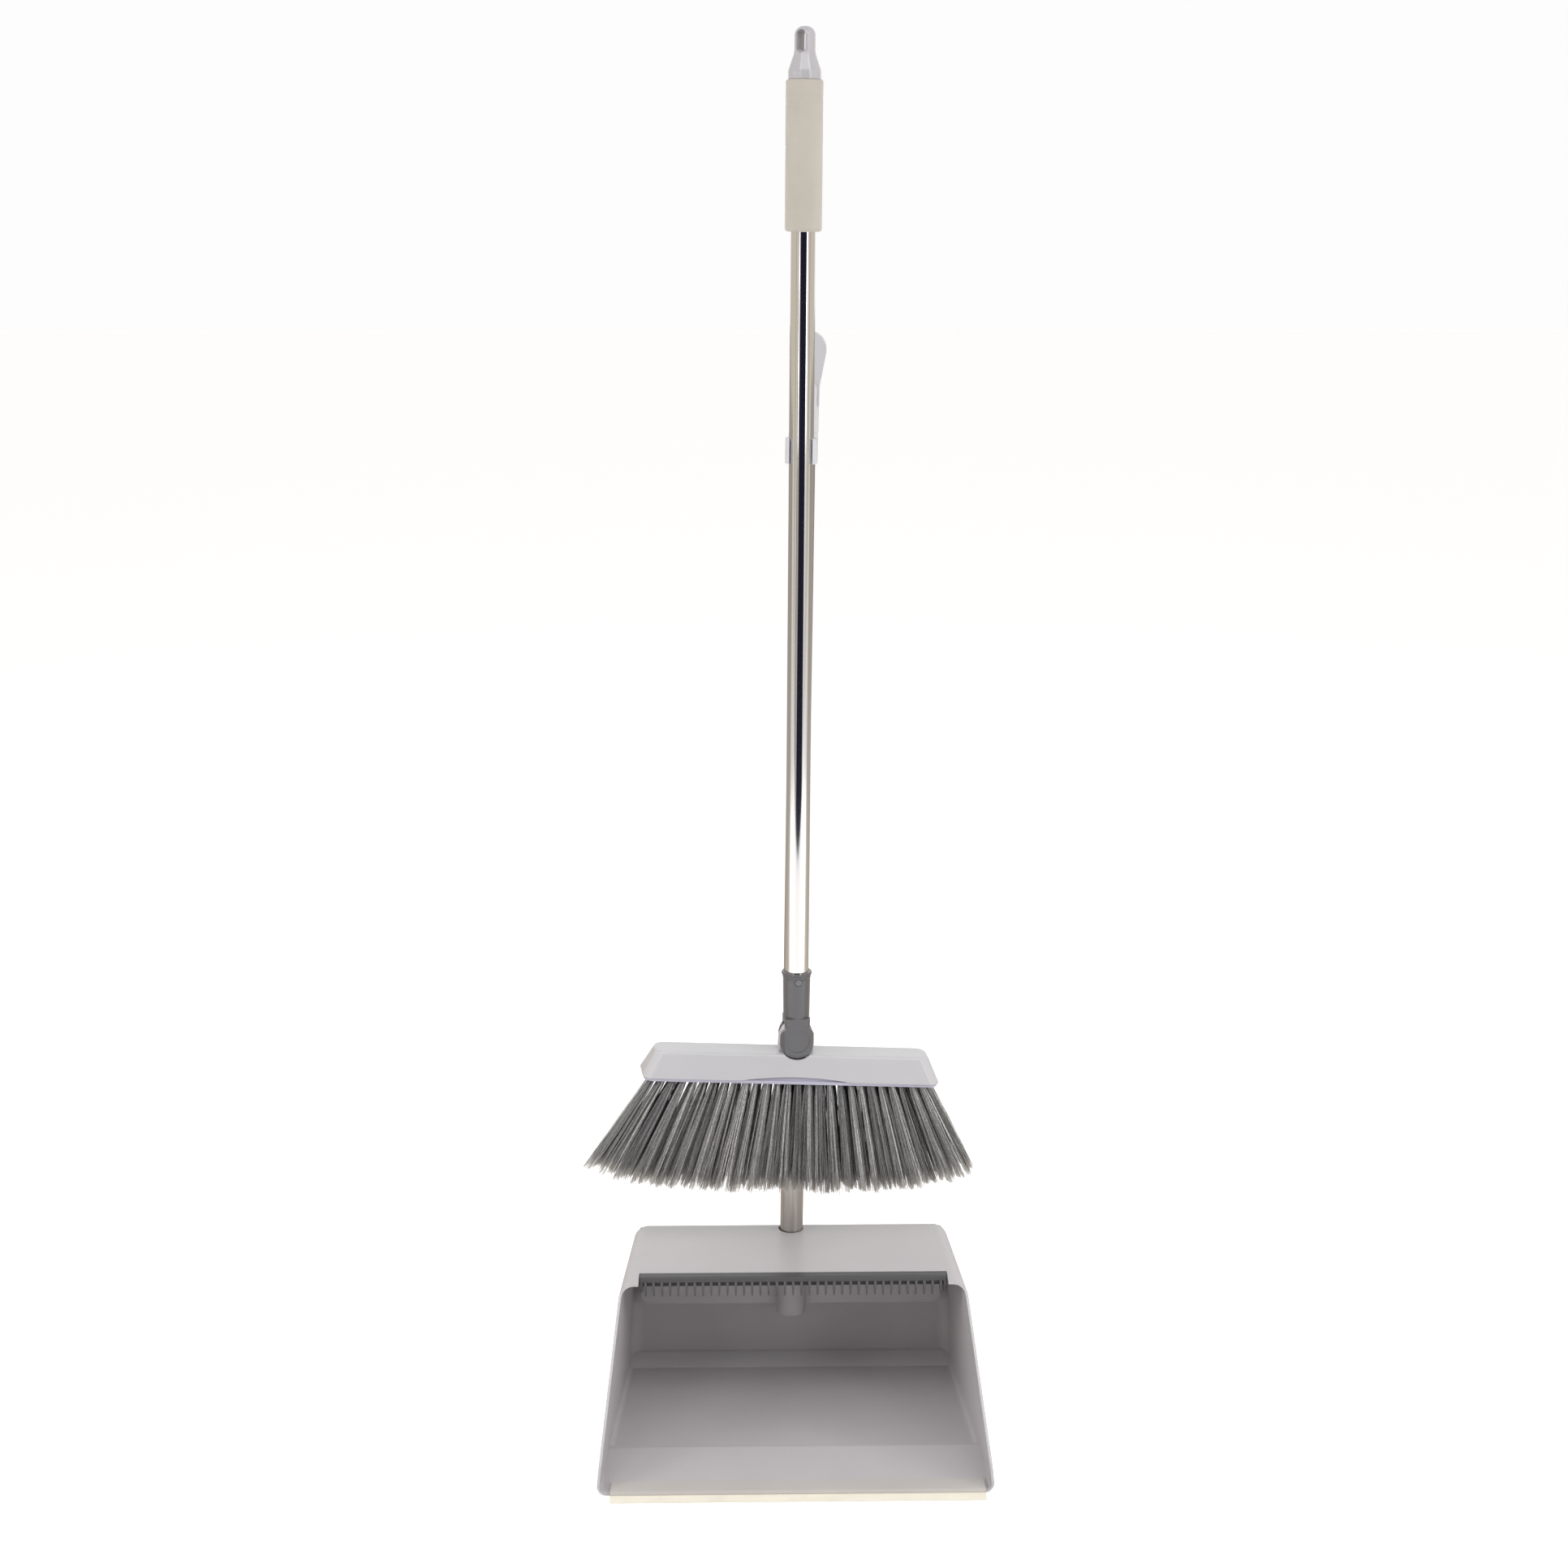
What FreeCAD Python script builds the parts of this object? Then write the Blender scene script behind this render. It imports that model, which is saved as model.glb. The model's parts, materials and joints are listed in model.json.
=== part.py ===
"""Upright hooded dustpan with a cleaning comb, and the broom that clips to its pole.

Frame: origin on the floor under the foot of the pan's pole, +Z up, the pan's mouth faces -Y.
Each group of pieces is drawn upright, and is then placed by the frame of its group.
"""

import FreeCAD, Part
import math
import os
import re
import Sketcher
from FreeCAD import Placement, Rotation, Vector

SIZES = {
    # hooded pan
    "pan_height": (135, "floor to the flat top of the hood"),
    "pan_wall": (2.0, "wall of the moulding"),
    "pan_back": (26, "back wall at the floor, behind the pole axis"),
    "pan_back_lean": (11.5, "how far the back wall comes forward up to the hood"),
    "pan_mouth": (196, "front edge of the floor, ahead of the pole axis"),
    "pan_half_width": (141.1, "half width at the floor, beside the pole axis"),
    "pan_flare": (0.07, "gain of half width per mm towards the mouth"),
    "pan_draft": (9.76, "loss of half width from the floor up to the hood"),
    "pan_corner": (12, "outside radius of the hood's soft corners"),
    "pan_foot": (7.5, "outside radius between the walls and the floor"),
    "pan_foot_inside": (3.8, "inside radius between the walls and the floor"),
    "hood_front": (106, "front of the hood at its sides, ahead of the pole axis"),
    "notch_front": (86, "front of the hood behind the comb"),
    "notch_half": (124, "half width of the comb's notch"),
    "floor_thick": (2.4, "pan floor"),
    "ramp_crest": (137, "crest of the ramp, ahead of the pole axis"),
    "ramp_height": (8, "height of the crest"),
    "heel_start": (9, "where the floor turns up to the back wall"),
    "heel_rise": (8.7, "rise of that turn"),
    "heel_run": (12, "run of that turn"),
    "boss_radius": (12.2, "pole socket under the hood"),
    "boss_bottom": (59.5, "underside of the pole socket"),
    "boss_bore": (10.4, "bore of the pole socket"),
    "socket_floor": (64, "bottom of the socket's bore"),
    "rib_half": (126.5, "half width of the cross rib behind the socket"),
    "rib_bottom": (65, "lower edge of the cross rib"),
    "rib_front": (3, "front of the cross rib, behind the pole axis"),
    "rib_thick": (2.5, "cross rib"),
    "rib_corner": (8, "lower corners of the cross rib"),
    # comb
    "comb_half": (123.3, "half length of the comb"),
    "comb_rail": (4.2, "height of the comb's top rail"),
    "comb_depth": (9.5, "how far the comb stands out of the notch"),
    "comb_web_bottom": (124.3, "lower edge of the web behind the teeth"),
    "comb_web": (2.2, "thickness of that web"),
    "tooth_count": (37, "teeth of the comb"),
    "tooth_pitch": (6.6, "from tooth to tooth"),
    "tooth_thick": (2.6, "one tooth"),
    "comb_end": (2.5, "end plate of the comb"),
    "tooth_bottom": (117, "tip of a tooth"),
    # lip
    "lip_half": (145.7, "half length of the lip"),
    "lip_shift": (1.8, "how far the lip sits to the right"),
    "lip_back": (183, "rear edge of the grey lip strip, ahead of the pole axis"),
    "lip_nose": (200.5, "front of the grey lip strip"),
    "lip_front": (208, "front edge of the rubber"),
    "lip_top": (4.6, "rear edge of the strip above the floor"),
    # poles
    "tube_radius": (9.5, "both poles"),
    "tube_wall": (0.6, "both poles"),
    "pole_bottom": (78, "lower end of the pan's pole"),
    "pole_top": (797, "upper end of the pan's pole"),
    "pole_lean": (0.76, "lean of the pan's pole in its socket, degrees"),
    "lean_height": (100, "height that the pole leans about"),
    # handle and clip
    "clip_low": (780, "lower face of the clip"),
    "clip_high": (799, "upper face of the clip"),
    "clip_reach": (30, "pole axis to broom axis"),
    "clip_turn": (-4.22, "turn of the clip about the pole, degrees"),
    "jaw_bore": (9.8, "inside radius of the jaws"),
    "jaw_outer": (12.4, "outside radius of the jaws"),
    "jaw_mouth": (8.9, "half opening of the jaws"),
    "collar_radius": (11.4, "collar round the pole"),
    "stem_radius": (8.9, "stem over the collar"),
    "handle_shift": (2.8, "how far the stem and the handle stand to the right of the pole"),
    "stem_top": (835, "where the stem widens into the handle"),
    "paddle_half": (13.8, "half width of the handle"),
    "paddle_thick": (10, "handle, front to back"),
    "paddle_centre": (864, "centre of the handle's round end"),
    "hang_hole": (4.5, "radius of the handle's hang hole"),
    # broom stick
    "broom_lean": (0.42, "lean of the broom, degrees"),
    "broom_turn": (7, "turn of the broom about its own axis, degrees"),
    "stick_bottom": (336, "lower end of the broom's tube"),
    "stick_top": (1061, "upper end of the broom's tube"),
    "grip_radius": (13.9, "foam grip"),
    "grip_bottom": (953, "lower end of the foam grip"),
    "cap_seat": (1063, "joint between grip and hang cap"),
    "cap_radius": (12.3, "mouth of the hang cap"),
    "knob_radius": (7.8, "neck and eye of the hang cap"),
    "cap_top": (1100.5, "top of the hang cap"),
    "eye_bottom": (1081, "lower end of the eye"),
    "eye_top": (1098, "upper end of the eye"),
    "eye_width": (7.4, "width of the eye"),
    "eye_turn": (-35, "turn of the eye about the broom axis, degrees"),
    # neck and pivot
    "neck_top": (372, "rim of the neck"),
    "neck_bottom": (329.4, "end of the round neck"),
    "neck_radius": (11, "neck under its rim"),
    "neck_taper": (0.5, "loss of radius down to the cheeks"),
    "rim_radius": (1.25, "bead of the rim"),
    "button_height": (365, "snap button"),
    "button_radius": (2.8, "snap button"),
    "pivot_height": (315.2, "pivot axis"),
    "cheek_radius": (14.4, "round end of a cheek"),
    "cheek_thick": (5, "one cheek"),
    "cheek_out": (10.65, "outer face of a cheek, from the broom axis"),
    "cheek_neck": (10.3, "half width of a cheek above its round end"),
    "cheek_dish": (9.6, "radius of the shallow dish in the front cheek"),
    "pin_radius": (3, "pivot screw"),
    "knuckle_radius": (13.9, "round knuckle of the head"),
    "washer_thick": (0.6, "thrust washer each side of the knuckle"),
    "washer_radius": (7.5, "thrust washer"),
    # head
    "head_roll": (4.0, "roll of the head about the pivot, degrees"),
    "head_shift": (2.6, "how far the head's middle sits to the left of the pivot"),
    "head_half": (121.4, "half width of the head at its lower edge"),
    "head_depth": (37, "head at its lower edge, front to back"),
    "cover_top": (304.2, "top of the head cover"),
    "cover_bottom": (283.6, "lower edge of the head cover"),
    "cover_end_draft": (10, "how far each end comes in up to the top"),
    "cover_side_draft": (5.7, "how far the front and the back come in up to the top"),
    "cover_wall": (2.2, "wall of the head cover"),
    "cover_corner": (9, "outside radius of the cover's upright corners"),
    "cover_rim": (2.2, "outside radius round the cover's top"),
    "arch_half": (45, "half width of the low arch in the cover's lower edge"),
    "arch_rise": (3.5, "rise of that arch"),
    "base_bottom": (281, "underside of the bristle block"),
    "base_top": (294, "top of the bristle block"),
    "base_trim": (1.2, "how far the block's rim stands in from the cover"),
    "tuft_columns": (27, "tufts across a row"),
    "tuft_pitch": (8.5, "tuft spacing in the block"),
    "tuft_fan": (11.73, "tuft spacing at the tips"),
    "tuft_rows": (4, "rows of tufts"),
    "row_pitch": (8, "row spacing in the block"),
    "row_fan": (9.2, "row spacing at the tips"),
    "row_skew": (2.2, "how far each row is set to the right of the row before it"),
    "tuft_root": (2.1, "radius of a tuft in the block"),
    "tuft_tip": (3.6, "radius of a tuft at its tip"),
    "tuft_hole": (8, "depth of a tuft in the block"),
    "tip_centre": (188, "height of the middle tips"),
    "tip_corner": (204, "height of the end tips"),
    "tip_reach": (176, "largest distance of a stiff tuft from the pivot"),
    "staple_height": (1.6, "anchor staple over each tuft"),
    "staple_width": (3.2, "anchor staple, along the head"),
    "staple_thick": (0.4, "anchor staple, front to back"),
    "screw_inner": (37.6, "inner cover screws, from the head's middle"),
    "screw_outer": (87.6, "outer cover screws, from the head's middle"),
    "screw_head": (2.2, "head radius of a cover screw"),
    "screw_shank": (1.2, "shank radius of a cover screw"),
    "screw_sink": (3.1, "how deep the screw heads sit in the block"),
}

YZ_PLANE = Rotation(Vector(1, 1, 1), 120)
XZ_PLANE = Rotation(Vector(1, 0, 0), 90)

doc = FreeCAD.newDocument("dustpan_and_broom")
sheet = doc.addObject("Spreadsheet::Sheet", "sizes")
for row, (alias, (value, note)) in enumerate(SIZES.items(), start=1):
    sheet.set(f"A{row}", alias)
    sheet.set(f"B{row}", str(value))
    sheet.setAlias(f"B{row}", alias)
    sheet.set(f"C{row}", note)
doc.recompute()

sub_parts = []


def size(alias):
    """The value of one driving dimension."""
    return float(getattr(sheet, alias))


def bound(text):
    """An expression over the sheet: every alias in the text is looked up there."""
    names = "|".join(sorted(SIZES, key=len, reverse=True))
    return re.sub(rf"(?<![\w.])({names})\b", r"sizes.\1", str(text))


def bind(obj, **values):
    """Bind properties to expressions; double underscores stand for dots."""
    for prop, text in values.items():
        obj.setExpression(prop.replace("__", "."), bound(text))
    return obj


def place(obj, x=0, y=0, z=0, turn=None):
    """Place a construction shape, with its position bound to the sheet."""
    if turn:
        obj.Placement = Placement(Vector(), turn)
    return bind(obj, Placement__Base__x=x, Placement__Base__y=y, Placement__Base__z=z)


def box(name, x0, x1, y0, y1, z0, z1):
    """A box between bound limits."""
    obj = doc.addObject("Part::Box", name)
    bind(obj, Length=f"({x1}) - ({x0})", Width=f"({y1}) - ({y0})", Height=f"({z1}) - ({z0})")
    return place(obj, x0, y0, z0)


def cylinder(name, radius, length, x=0, y=0, z=0, turn=None):
    obj = doc.addObject("Part::Cylinder", name)
    bind(obj, Radius=radius, Height=length)
    return place(obj, x, y, z, turn)


def cone(name, low_radius, high_radius, length, x=0, y=0, z=0, turn=None):
    obj = doc.addObject("Part::Cone", name)
    bind(obj, Radius1=low_radius, Radius2=high_radius, Height=length)
    return place(obj, x, y, z, turn)


def fuse(name, *shapes):
    obj = doc.addObject("Part::MultiFuse", name)
    obj.Shapes = list(shapes)
    obj.Refine = True
    return obj


def cut(name, base, *tools):
    obj = doc.addObject("Part::Cut", name)
    obj.Base = base
    obj.Tool = tools[0] if len(tools) == 1 else fuse(name + "_tools", *tools)
    return obj


def common(name, base, tool):
    obj = doc.addObject("Part::Common", name)
    obj.Base = base
    obj.Tool = tool
    return obj


def outline(sketch, corners):
    """A closed straight-sided outline whose corners are bound to the sheet."""
    rough = [(math.cos(k), math.sin(k)) for k in range(len(corners))]
    count = len(corners)
    first = sketch.GeometryCount
    for k in range(count):
        start = Vector(*rough[k], 0)
        end = Vector(*rough[(k + 1) % count], 0)
        sketch.addGeometry(Part.LineSegment(start, end))
    for k in range(count):
        follower = first + (k + 1) % count
        sketch.addConstraint(Sketcher.Constraint("Coincident", first + k, 2, follower, 1))
    for k, (across, up) in enumerate(corners):
        for kind, text in (("DistanceX", across), ("DistanceY", up)):
            at = sketch.addConstraint(Sketcher.Constraint(kind, -1, 1, first + k, 1, 1.0))
            sketch.setExpression(f"Constraints[{at}]", bound(text))
    return sketch


def free_sketch(name, corners, z=0, turn=None):
    sketch = doc.addObject("Sketcher::SketchObject", name)
    return place(outline(sketch, corners), z=z, turn=turn)


def prism(name, corners, half_length, turn):
    """An outline extruded both ways along its normal."""
    obj = doc.addObject("Part::Extrusion", name)
    obj.Base = free_sketch(name + "_outline", corners, turn=turn)
    obj.DirMode = "Normal"
    obj.Solid = True
    obj.Symmetric = True
    return bind(obj, LengthFwd=f"2 * ({half_length})")


def loft(name, low, low_height, high, high_height):
    """A straight-sided solid between two outlines at bound heights."""
    obj = doc.addObject("Part::Loft", name)
    obj.Sections = [
        free_sketch(name + "_low", low, z=low_height),
        free_sketch(name + "_high", high, z=high_height),
    ]
    obj.Solid = True
    obj.Ruled = True
    return obj


def rounded(name, base, radius, chosen):
    """Fillet the edges of a shape that the test picks out."""
    doc.recompute()
    obj = doc.addObject("Part::Fillet", name)
    obj.Base = base
    edges = [n for n, edge in enumerate(base.Shape.Edges, start=1) if chosen(edge)]
    obj.Edges = [(n, radius, radius) for n in edges]
    return obj


def body_sketch(body, name, role, corners):
    """A sketch on one of its body's own origin planes."""
    sketch = body.newObject("Sketcher::SketchObject", name)
    plane = next(f for f in body.Origin.OriginFeatures if f.Role == role)
    sketch.AttachmentSupport = [(plane, "")]
    sketch.MapMode = "FlatFace"
    return outline(sketch, corners)


def turned(name, corners):
    """A body of revolution about Z from (radius, height) corners."""
    body = doc.addObject("PartDesign::Body", name)
    sketch = body_sketch(body, name + "_profile", "XZ_Plane", corners)
    spin = body.newObject("PartDesign::Revolution", name + "_spin")
    spin.Profile = sketch
    spin.ReferenceAxis = (sketch, ["V_Axis"])
    spin.Angle = 360
    doc.recompute()
    return body


def soften(body, name, radius, chosen):
    """Fillet the edges of a body's tip that the test picks out."""
    doc.recompute()
    tip = body.Tip
    edges = [f"Edge{n}" for n, edge in enumerate(tip.Shape.Edges, start=1) if chosen(edge)]
    obj = body.newObject("PartDesign::Fillet", name)
    obj.Base = (tip, edges)
    bind(obj, Radius=radius)
    return obj


def middle(edge):
    return edge.valueAt((edge.FirstParameter + edge.LastParameter) / 2)


def near(value, target, slack=0.3):
    return abs(value - target) < slack


def ring_at(height, radius):
    """Picks the round edges of a turned body at one height and radius."""
    return lambda edge: (
        isinstance(edge.Curve, Part.Circle)
        and near(edge.Curve.Center.z, height, 0.01)
        and near(edge.Curve.Radius, radius, 0.01)
    )


def keep(obj, label, frame):
    """Hand a sub-part in, at its group's frame."""
    obj.Label = label
    obj.Placement = frame
    sub_parts.append(obj)
    return obj


def keep_shape(shape, label, frame):
    """A sub-part whose shape is worked out in code."""
    obj = doc.addObject("Part::Feature", label)
    obj.Shape = shape
    return keep(obj, label, frame)


# ---------------------------------------------------------------- frames of the groups


def leaning(degrees, height):
    """Lean to +X about a point on the Z axis."""
    turn = Rotation(Vector(0, 1, 0), degrees)
    up = Vector(0, 0, height)
    return Placement(up, turn) * Placement(-up, Rotation())


PAN_FRAME = Placement()
LIP_FRAME = Placement(Vector(size("lip_shift"), 0, 0), Rotation())
POLE_FRAME = leaning(size("pole_lean"), size("lean_height"))
CLIP_FRAME = POLE_FRAME * Placement(Vector(), Rotation(Vector(0, 0, 1), size("clip_turn")))
CLIP_MIDDLE = (size("clip_low") + size("clip_high")) / 2
BROOM_SEAT = CLIP_FRAME.multVec(Vector(0, -size("clip_reach"), CLIP_MIDDLE))
BROOM_FRAME = (
    Placement(BROOM_SEAT, Rotation(Vector(0, 1, 0), size("broom_lean")))
    * Placement(Vector(), Rotation(Vector(0, 0, 1), size("broom_turn")))
    * Placement(Vector(0, 0, -CLIP_MIDDLE), Rotation())
)
HEAD_MIDDLE = Placement(Vector(-size("head_shift"), 0, 0), Rotation())
HEAD_FRAME = BROOM_FRAME * leaning(size("head_roll"), size("pivot_height")) * HEAD_MIDDLE
SCREW_PLACES = [side * size(name) for name in ("screw_inner", "screw_outer") for side in (-1, 1)]


# ---------------------------------------------------------------- the hooded pan


def pan_corners(inset, height, front):
    """The plan of the pan at one height, as a trapezoid stood in by the inset."""
    share = f"({height}) / pan_height"
    back = f"(pan_back - pan_back_lean * {share} - ({inset}))"
    half_at = f"(pan_half_width - pan_draft * {share} - ({inset}) - pan_flare * "
    back_half = half_at + back + ")"
    front_half = half_at + f"(-({front})))"
    return [
        (f"-{back_half}", back),
        (back_half, back),
        (front_half, f"-({front})"),
        (f"-{front_half}", f"-({front})"),
    ]


def pan_block(name, inset, bottom, top, front):
    low = pan_corners(inset, bottom, front)
    high = pan_corners(inset, top, front)
    return loft(name, low, bottom, high, top)


def hood_edge(top):
    """The two long sides and the back of the top, and the two upright back corners."""

    def chosen(edge):
        at = middle(edge)
        flat_top = near(at.z, top)
        upright = edge.BoundBox.ZLength > 50 and at.y > 0
        return (flat_top and at.y > -size("pan_mouth")) or upright

    return chosen


def foot_edge(bottom):
    """The two long edges between the walls and the floor."""

    def chosen(edge):
        return near(middle(edge).z, bottom) and edge.BoundBox.YLength > 150

    return chosen


def pan_shell():
    """Hood, walls, floor with its ramp, pole socket and cross rib in one moulding."""
    outer = pan_block("pan_outer", "0", "0", "pan_height", "pan_mouth + 12")
    outer_hood = rounded("pan_outer_hood", outer, size("pan_corner"), hood_edge(size("pan_height")))
    outer_soft = rounded("pan_outer_soft", outer_hood, size("pan_foot"), foot_edge(0))
    inner_top = "pan_height - pan_wall"
    inner = pan_block("pan_inner", "pan_wall", "floor_thick", inner_top, "pan_mouth + 20")
    inner_hood = rounded(
        "pan_inner_hood",
        inner,
        size("pan_corner") - size("pan_wall"),
        hood_edge(size("pan_height") - size("pan_wall")),
    )
    inner_foot = foot_edge(size("floor_thick"))
    inner_soft = rounded("pan_inner_soft", inner_hood, size("pan_foot_inside"), inner_foot)
    walls = cut("pan_walls", outer_soft, inner_soft)

    floor_line = [
        ("pan_back + 5", "0"),
        ("-pan_mouth + 8", "0"),
        ("-pan_mouth + 8", "floor_thick"),
        ("-ramp_crest", "ramp_height"),
        ("-ramp_crest + 4", "ramp_height - 0.4"),
        ("-ramp_crest + 10.5", "floor_thick"),
        ("heel_start", "floor_thick"),
        ("heel_start + heel_run", "floor_thick + heel_rise"),
        ("pan_back + 5", "floor_thick + heel_rise + 3"),
    ]
    floor_strip = prism("pan_floor_strip", floor_line, 200, YZ_PLANE)
    floor = common("pan_floor", outer_soft, floor_strip)
    hollow_line = [
        ("-ramp_crest + 9", "-1"),
        ("-ramp_crest + 9", "0"),
        ("-ramp_crest + 3.5", "ramp_height - floor_thick - 0.4"),
        ("-ramp_crest", "ramp_height - floor_thick"),
        ("-pan_mouth + 10", "0"),
        ("-pan_mouth + 10", "-1"),
    ]
    hollow = prism("pan_ramp_hollow", hollow_line, 135, YZ_PLANE)

    boss = cylinder("pan_boss", "boss_radius", "pan_height - 1 - boss_bottom", z="boss_bottom")
    foot = size("boss_bottom")
    boss_soft = rounded("pan_boss_soft", boss, 1.2, lambda edge: near(middle(edge).z, foot))
    rib = box(
        "pan_rib_block",
        "-rib_half",
        "rib_half",
        "rib_front",
        "rib_front + rib_thick",
        "rib_bottom",
        "pan_height - 1",
    )

    def rib_end(edge):
        low_down = near(middle(edge).z, size("rib_bottom"))
        return low_down and edge.BoundBox.YLength > 2 and edge.Length < 3

    rib_soft = rounded(
        "pan_rib",
        rib,
        size("rib_corner"),
        rib_end,
    )
    solid = fuse("pan_solid", walls, floor, boss_soft, rib_soft)

    mouth_line = [
        ("-hood_front", "pan_height + 1"),
        ("-hood_front - 1.5", "pan_height - 8"),
        ("-pan_mouth + 5", "22"),
        ("-pan_mouth", "9"),
        ("-pan_mouth", "-1"),
        ("-pan_mouth - 60", "-1"),
        ("-pan_mouth - 60", "pan_height + 1"),
    ]
    mouth = prism("pan_mouth_cut", mouth_line, 250, YZ_PLANE)
    notch = box(
        "pan_notch",
        "-notch_half",
        "notch_half",
        "-hood_front - 10",
        "-notch_front",
        "pan_height - 30",
        "pan_height + 5",
    )
    bore = cylinder("pan_bore", "boss_bore", "100", z="socket_floor")
    screw_way = cylinder("pan_screw_way", "2.2", "20", z="boss_bottom - 5")
    return cut("pan_shell", solid, mouth, hollow, notch, bore, screw_way)


def comb_rail():
    """The comb's rail and web in the hood's front edge, closed by an end plate each side."""
    rail = box(
        "comb_rail_bar",
        "-comb_half",
        "comb_half",
        "-notch_front - comb_depth",
        "-notch_front",
        "pan_height - comb_rail",
        "pan_height",
    )
    tongue = box(
        "comb_tongue",
        "-comb_half + 4",
        "comb_half - 4",
        "-notch_front - 1",
        "-notch_front + 6",
        "pan_height - comb_rail",
        "pan_height - pan_wall",
    )
    web = box(
        "comb_web_plate",
        "-comb_half",
        "comb_half",
        "-notch_front - comb_web",
        "-notch_front",
        "comb_web_bottom",
        "pan_height - 1",
    )
    ends = [
        box(
            f"comb_end_{side}",
            inner_face,
            outer_face,
            "-notch_front - comb_depth",
            "-notch_front",
            "comb_web_bottom - 3",
            "pan_height - 1",
        )
        for side, inner_face, outer_face in (
            ("left", "-comb_half", "-comb_half + comb_end"),
            ("right", "comb_half - comb_end", "comb_half"),
        )
    ]
    return fuse("comb_rail", rail, tongue, web, *ends)


def comb_teeth():
    """The row of deep pointed teeth under the rail, ahead of the web."""
    line = [
        ("-notch_front - comb_web", "pan_height - comb_rail"),
        ("-notch_front - comb_web", "comb_web_bottom - 1"),
        ("-notch_front - 3.4", "tooth_bottom + 1.6"),
        ("-notch_front - 4.6", "tooth_bottom"),
        ("-notch_front - 6.4", "tooth_bottom + 1.2"),
        ("-notch_front - comb_depth", "comb_web_bottom - 0.5"),
        ("-notch_front - comb_depth", "pan_height - comb_rail"),
    ]
    tooth = prism("comb_tooth", line, "tooth_thick / 2", YZ_PLANE)
    doc.recompute()
    count, pitch = int(size("tooth_count")), size("tooth_pitch")
    teeth = []
    for k in range(count):
        one = tooth.Shape.copy()
        one.translate(Vector((k - (count - 1) / 2) * pitch, 0, 0))
        teeth.append(one)
    return Part.makeCompound(teeth)


def lip_strip():
    """The grey strip over the front of the floor, with a groove for the rubber."""
    line = [
        ("-lip_back", "lip_top"),
        ("-lip_back", "lip_top - 1.35"),
        ("-pan_mouth + 8", "floor_thick + 0.05"),
        ("-pan_mouth - 0.05", "floor_thick + 0.05"),
        ("-pan_mouth - 0.05", "0.3"),
        ("-lip_nose", "0.3"),
        ("-lip_nose", "3.4"),
        ("-lip_nose + 3", "4.2"),
    ]
    strip = prism("lip_bar", line, "lip_half", YZ_PLANE)
    groove = box("lip_groove", "-200", "200", "-lip_nose - 1", "-lip_nose + 3", "0.9", "2.3")
    return cut("lip_strip", strip, groove)


def lip_rubber():
    """The soft edge, held in the strip's groove, that lies on the floor."""
    line = [
        ("-lip_nose + 2.9", "1"),
        ("-lip_nose + 2.9", "2.2"),
        ("-lip_nose - 1", "2.2"),
        ("-lip_front", "0.7"),
        ("-lip_front", "0"),
        ("-lip_nose - 4", "0"),
        ("-lip_nose - 0.6", "1"),
    ]
    return prism("lip_rubber", line, "lip_half", YZ_PLANE)


# ---------------------------------------------------------------- the poles and the clip


def tube(name, bottom, top):
    return turned(
        name,
        [
            ("tube_radius - tube_wall", bottom),
            ("tube_radius", bottom),
            ("tube_radius", top),
            ("tube_radius - tube_wall", top),
        ],
    )


def pole_plug():
    """The plug in the foot of the pole: a shank in the tube and a shoulder under it."""
    inner = "tube_radius - tube_wall - 0.05"
    corners = [
        ("1.3", "socket_floor + 0.2"),
        ("tube_radius + 0.1", "socket_floor + 0.2"),
        ("tube_radius + 0.1", "pole_bottom"),
        (inner, "pole_bottom"),
        (inner, "pole_bottom + 24"),
        (f"{inner} - 1.5", "pole_bottom + 26"),
        ("1.3", "pole_bottom + 26"),
    ]
    return turned("pole_plug", corners)


def pan_head_screw(name, shank, length, head, tip_height):
    """A screw drawn head down on the Z axis; its tip is at the bound height."""
    corners = [
        ("0", tip_height),
        (f"{shank} * 0.5", f"{tip_height} - 1"),
        (shank, f"{tip_height} - 3"),
        (shank, f"{tip_height} - {length}"),
        (head, f"{tip_height} - {length}"),
        (head, f"{tip_height} - {length} - 1.4"),
        (f"{head} * 0.6", f"{tip_height} - {length} - 2.3"),
        ("0", f"{tip_height} - {length} - 2.3"),
    ]
    return turned(name, corners)


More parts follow.
